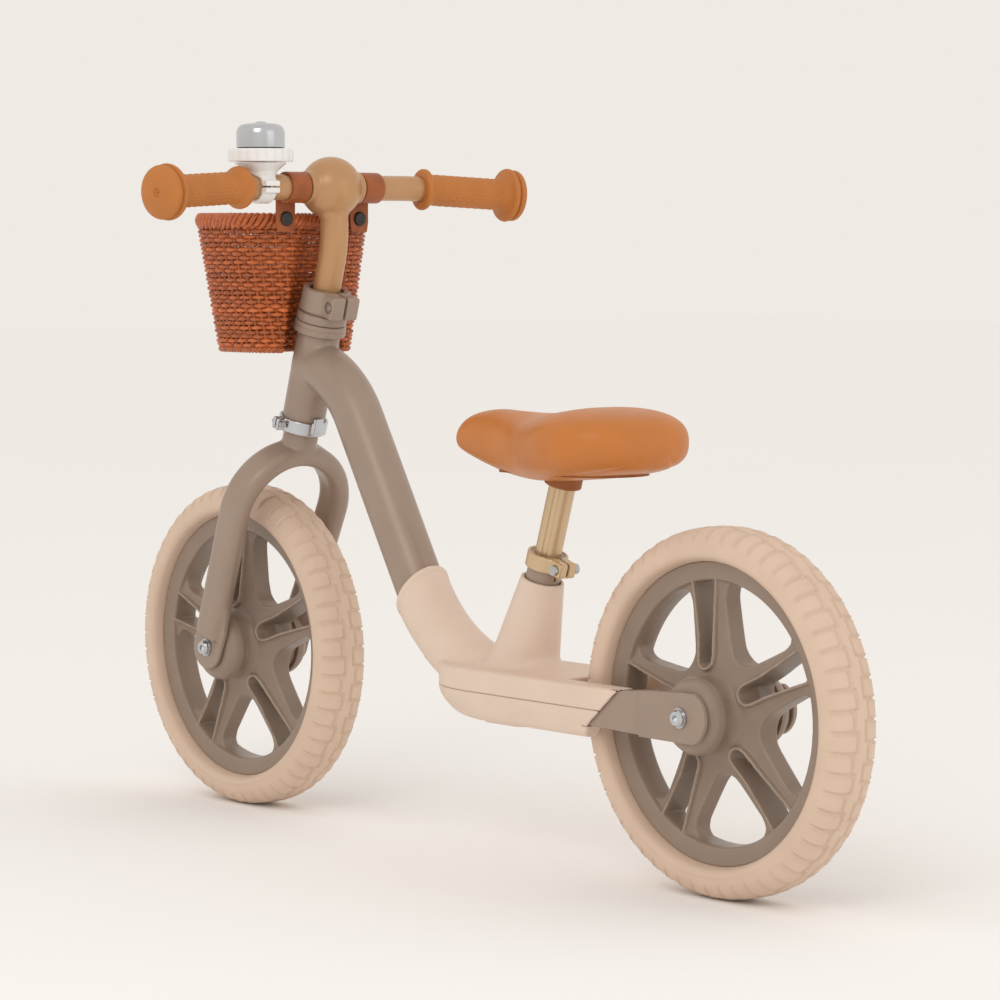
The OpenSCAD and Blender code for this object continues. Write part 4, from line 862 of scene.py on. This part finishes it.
# ================================================================ seat post and clamp
PN = 96
def post_r(A, R, Z):
    """Flat-bottomed lengthwise groove at the back of the post."""
    da = np.abs((A - math.radians(118) + math.pi) % (2 * math.pi) - math.pi)
    g = np.clip((0.26 - da) / 0.07, 0, 1)
    return np.where(R > 9, R - 1.3 * g, R)
POSTP = [(0.2, -79.8), (10.4, -79.8), (11.05, -79.0)] + [(11.05, z) for z in np.arange(-76, 79, 6)] + [(11.05, 79.4), (10.4, 80), (0.2, 80)]
piece("seat_post_tube", lathe(POSTP, SEAT, 180, rfun=post_r), "saddle", "post", "post_metal", ["seat_post"], angle=50)
def seatclamp(p):
    q = SEAT.into(p)
    d = extrude(np.hypot(q[:, 0], q[:, 1]) - 17.0, np.abs(q[:, 2]) - 6.5, 0.9)
    ears = sd_box(q, (-27.5, -9.5, -6.5), (-11.5, 9.5, 6.5), 2.4)
    d = smin(d, ears, 1.6)
    d = smax(d, -sd_box(q, (-40, -1.2, -10), (-9, 1.2, 10), 0), 0.5)
    d = np.maximum(d, -(np.hypot(q[:, 0], q[:, 1]) - 14.5))
    hx = np.hypot(q[:, 0] + 22, q[:, 2]); return smax(d, -np.maximum(hx - 3.9, 7.2 - np.abs(q[:, 1])), 0.35)
piece("seat_clamp_band", fnets(seatclamp, SEAT, (-28, -18, -7), (18, 18, 7), 0.7), "frame", "post", "post_metal", ["seat_clamp"])

# ================================================================ saddle
ST = np.array([[-226, 0.28, 336, 352, 2.2], [-221, 0.56, 329, 364, 2.4], [-210, 0.8, 325.5, 371.5, 2.6], [-190, 0.97, 322, 376, 2.7], [-168, 1, 319, 377, 2.7],
               [-146, 0.95, 317, 374.5, 2.6], [-120, 0.78, 315, 371, 2.5], [-92, 0.58, 314.5, 369.5, 2.4], [-64, 0.45, 317, 370, 2.3], [-38, 0.395, 322.5, 370.6, 2.3],
               [-16, 0.36, 329, 366.5, 2.3], [-4, 0.29, 333, 358.5, 2.2], [3, 0.14, 338, 349, 2.1]])
def saddle():
    n, m = ((190, 180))
    S = spline(ST * np.array([1, 66, 1, 1, 1]), n)
    a = 2 * np.pi * np.arange(m) / m
    c, s = np.cos(a), np.sin(a)
    sq = lambda v, e: np.sign(v) * np.abs(v) ** e
    V = []
    for i, (x, w, lo, hi, e) in enumerate(S):
        yy = (w - 0.4) * sq(c, 2 / e); mid, hh = (lo + hi) / 2, (hi - lo) / 2 - 0.3
        zz = mid + hh * sq(s, 2 / e)
        V.append(np.stack([np.full(m, x), yy, zz], 1))
    V = np.array(V); P = V.reshape(-1, 3).copy()
    V3 = P.reshape(n, m, 3)
    dx = np.gradient(V3, axis=0); da = np.roll(V3, -1, 1) - np.roll(V3, 1, 1)
    N = np.cross(da, dx); N /= np.maximum(np.linalg.norm(N, axis=2), 1e-6)[..., None]
    C = V3.mean(1, keepdims=True); flip = np.sign((N * (V3 - C)).sum(2)); N *= np.where(flip == 0, 1, flip)[..., None]
    lowp = np.clip((-s - 0.50) / 0.5, 0, 1)[None, :]
    hz = (V3[..., 2] - S[:, 2][:, None])
    # soft lobes where the skin is drawn over the foam, short gathers near the bottom edge, and the edge seam
    x, y = V3[..., 0], V3[..., 1]
    puff = 0.55 * np.exp(-((x + 118) / 30) ** 2 - ((np.abs(y) - 44) / 18) ** 2)
    low_edge = np.clip(1 - (hz / 16.0), 0, 1) ** 1.5 * (hz > 0)
    gather = 0.32 * low_edge * np.sin(x * 0.62 + 0.9 * np.sin(y * 0.14)) * np.exp(-((x + 130) / 48) ** 2)
    seam = -0.75 * np.exp(-((hz - 3.6) / 0.85) ** 2) * (np.abs(c)[None, :] > 0.18)
    ends = np.clip(np.minimum(np.arange(n), n - 1 - np.arange(n)) / 8.0, 0, 1)[:, None]
    V3 = V3 + N * ((puff + gather + seam) * ends)[..., None]
    F = []
    for i in range(n - 1):
        for k in range(m):
            l = (k + 1) % m; F.append([i * m + k, i * m + l, (i + 1) * m + l, (i + 1) * m + k])
    W = V3.reshape(-1, 3).tolist(); b = len(W)
    for end, base in ((0, 0), (n - 1, (n - 1) * m)):
        W.append(V3[end].mean(0) + np.array([-1.0 if end == 0 else 0.4, 0, 0])); t = len(W) - 1
        for k in range(m):
            l = (k + 1) % m; F.append([t, base + l, base + k] if end == 0 else [t, base + k, base + l])
    return np.array(W), F
sv, sf = saddle()
sad = piece("saddle_padding", (sv, sf), "saddle", "vinyl", "saddle_skin", ["saddle_cushion"])

# ================================================================ light and floor
world = bpy.data.worlds.new("studio")
scn.world = world
world.use_nodes = True
world.node_tree.nodes["Background"].inputs[0].default_value = (0.863, 0.823, 0.776, 1)
world.node_tree.nodes["Background"].inputs[1].default_value = 1.0

def area(name, loc, target, size, power, color=(1, 1, 1)):
    d = bpy.data.lights.new(name, "AREA")
    d.shape = "RECTANGLE"
    d.size, d.size_y = size
    d.energy = power
    d.color = color
    o = bpy.data.objects.new(name, d)
    scn.collection.objects.link(o)
    o.location = loc
    o.rotation_mode = "QUATERNION"
    o.rotation_quaternion = (Vector(target) - Vector(loc)).to_track_quat("-Z", "Y")
    return o

area("key", (-1.6, 2.6, 2.4), (0, 0, 0.25), (1.6, 1.6), 17)
area("fill", (-3.0, -0.6, 1.2), (0, 0, 0.3), (2.0, 1.6), 4)

me = bpy.data.meshes.new("floor")
fs = 14.0
me.from_pydata([(-fs, -fs, 0), (fs, -fs, 0), (fs, fs, 0), (-fs, fs, 0)], [], [(0, 1, 2, 3)])
floor = bpy.data.objects.new("floor", me)
scn.collection.objects.link(floor)
fm = material("floor", (0.99, 0.99, 0.99), rough=0.95, var=0.003, vscale=2, bump=0.01, bscale=300, rvar=0.02)
fm.node_tree.nodes["Principled BSDF"].inputs["Specular IOR Level"].default_value = 0.0
me.materials.append(fm)
floor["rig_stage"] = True
scn.view_settings.view_transform = "Standard"

bpy.context.view_layer.update()
lo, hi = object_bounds()
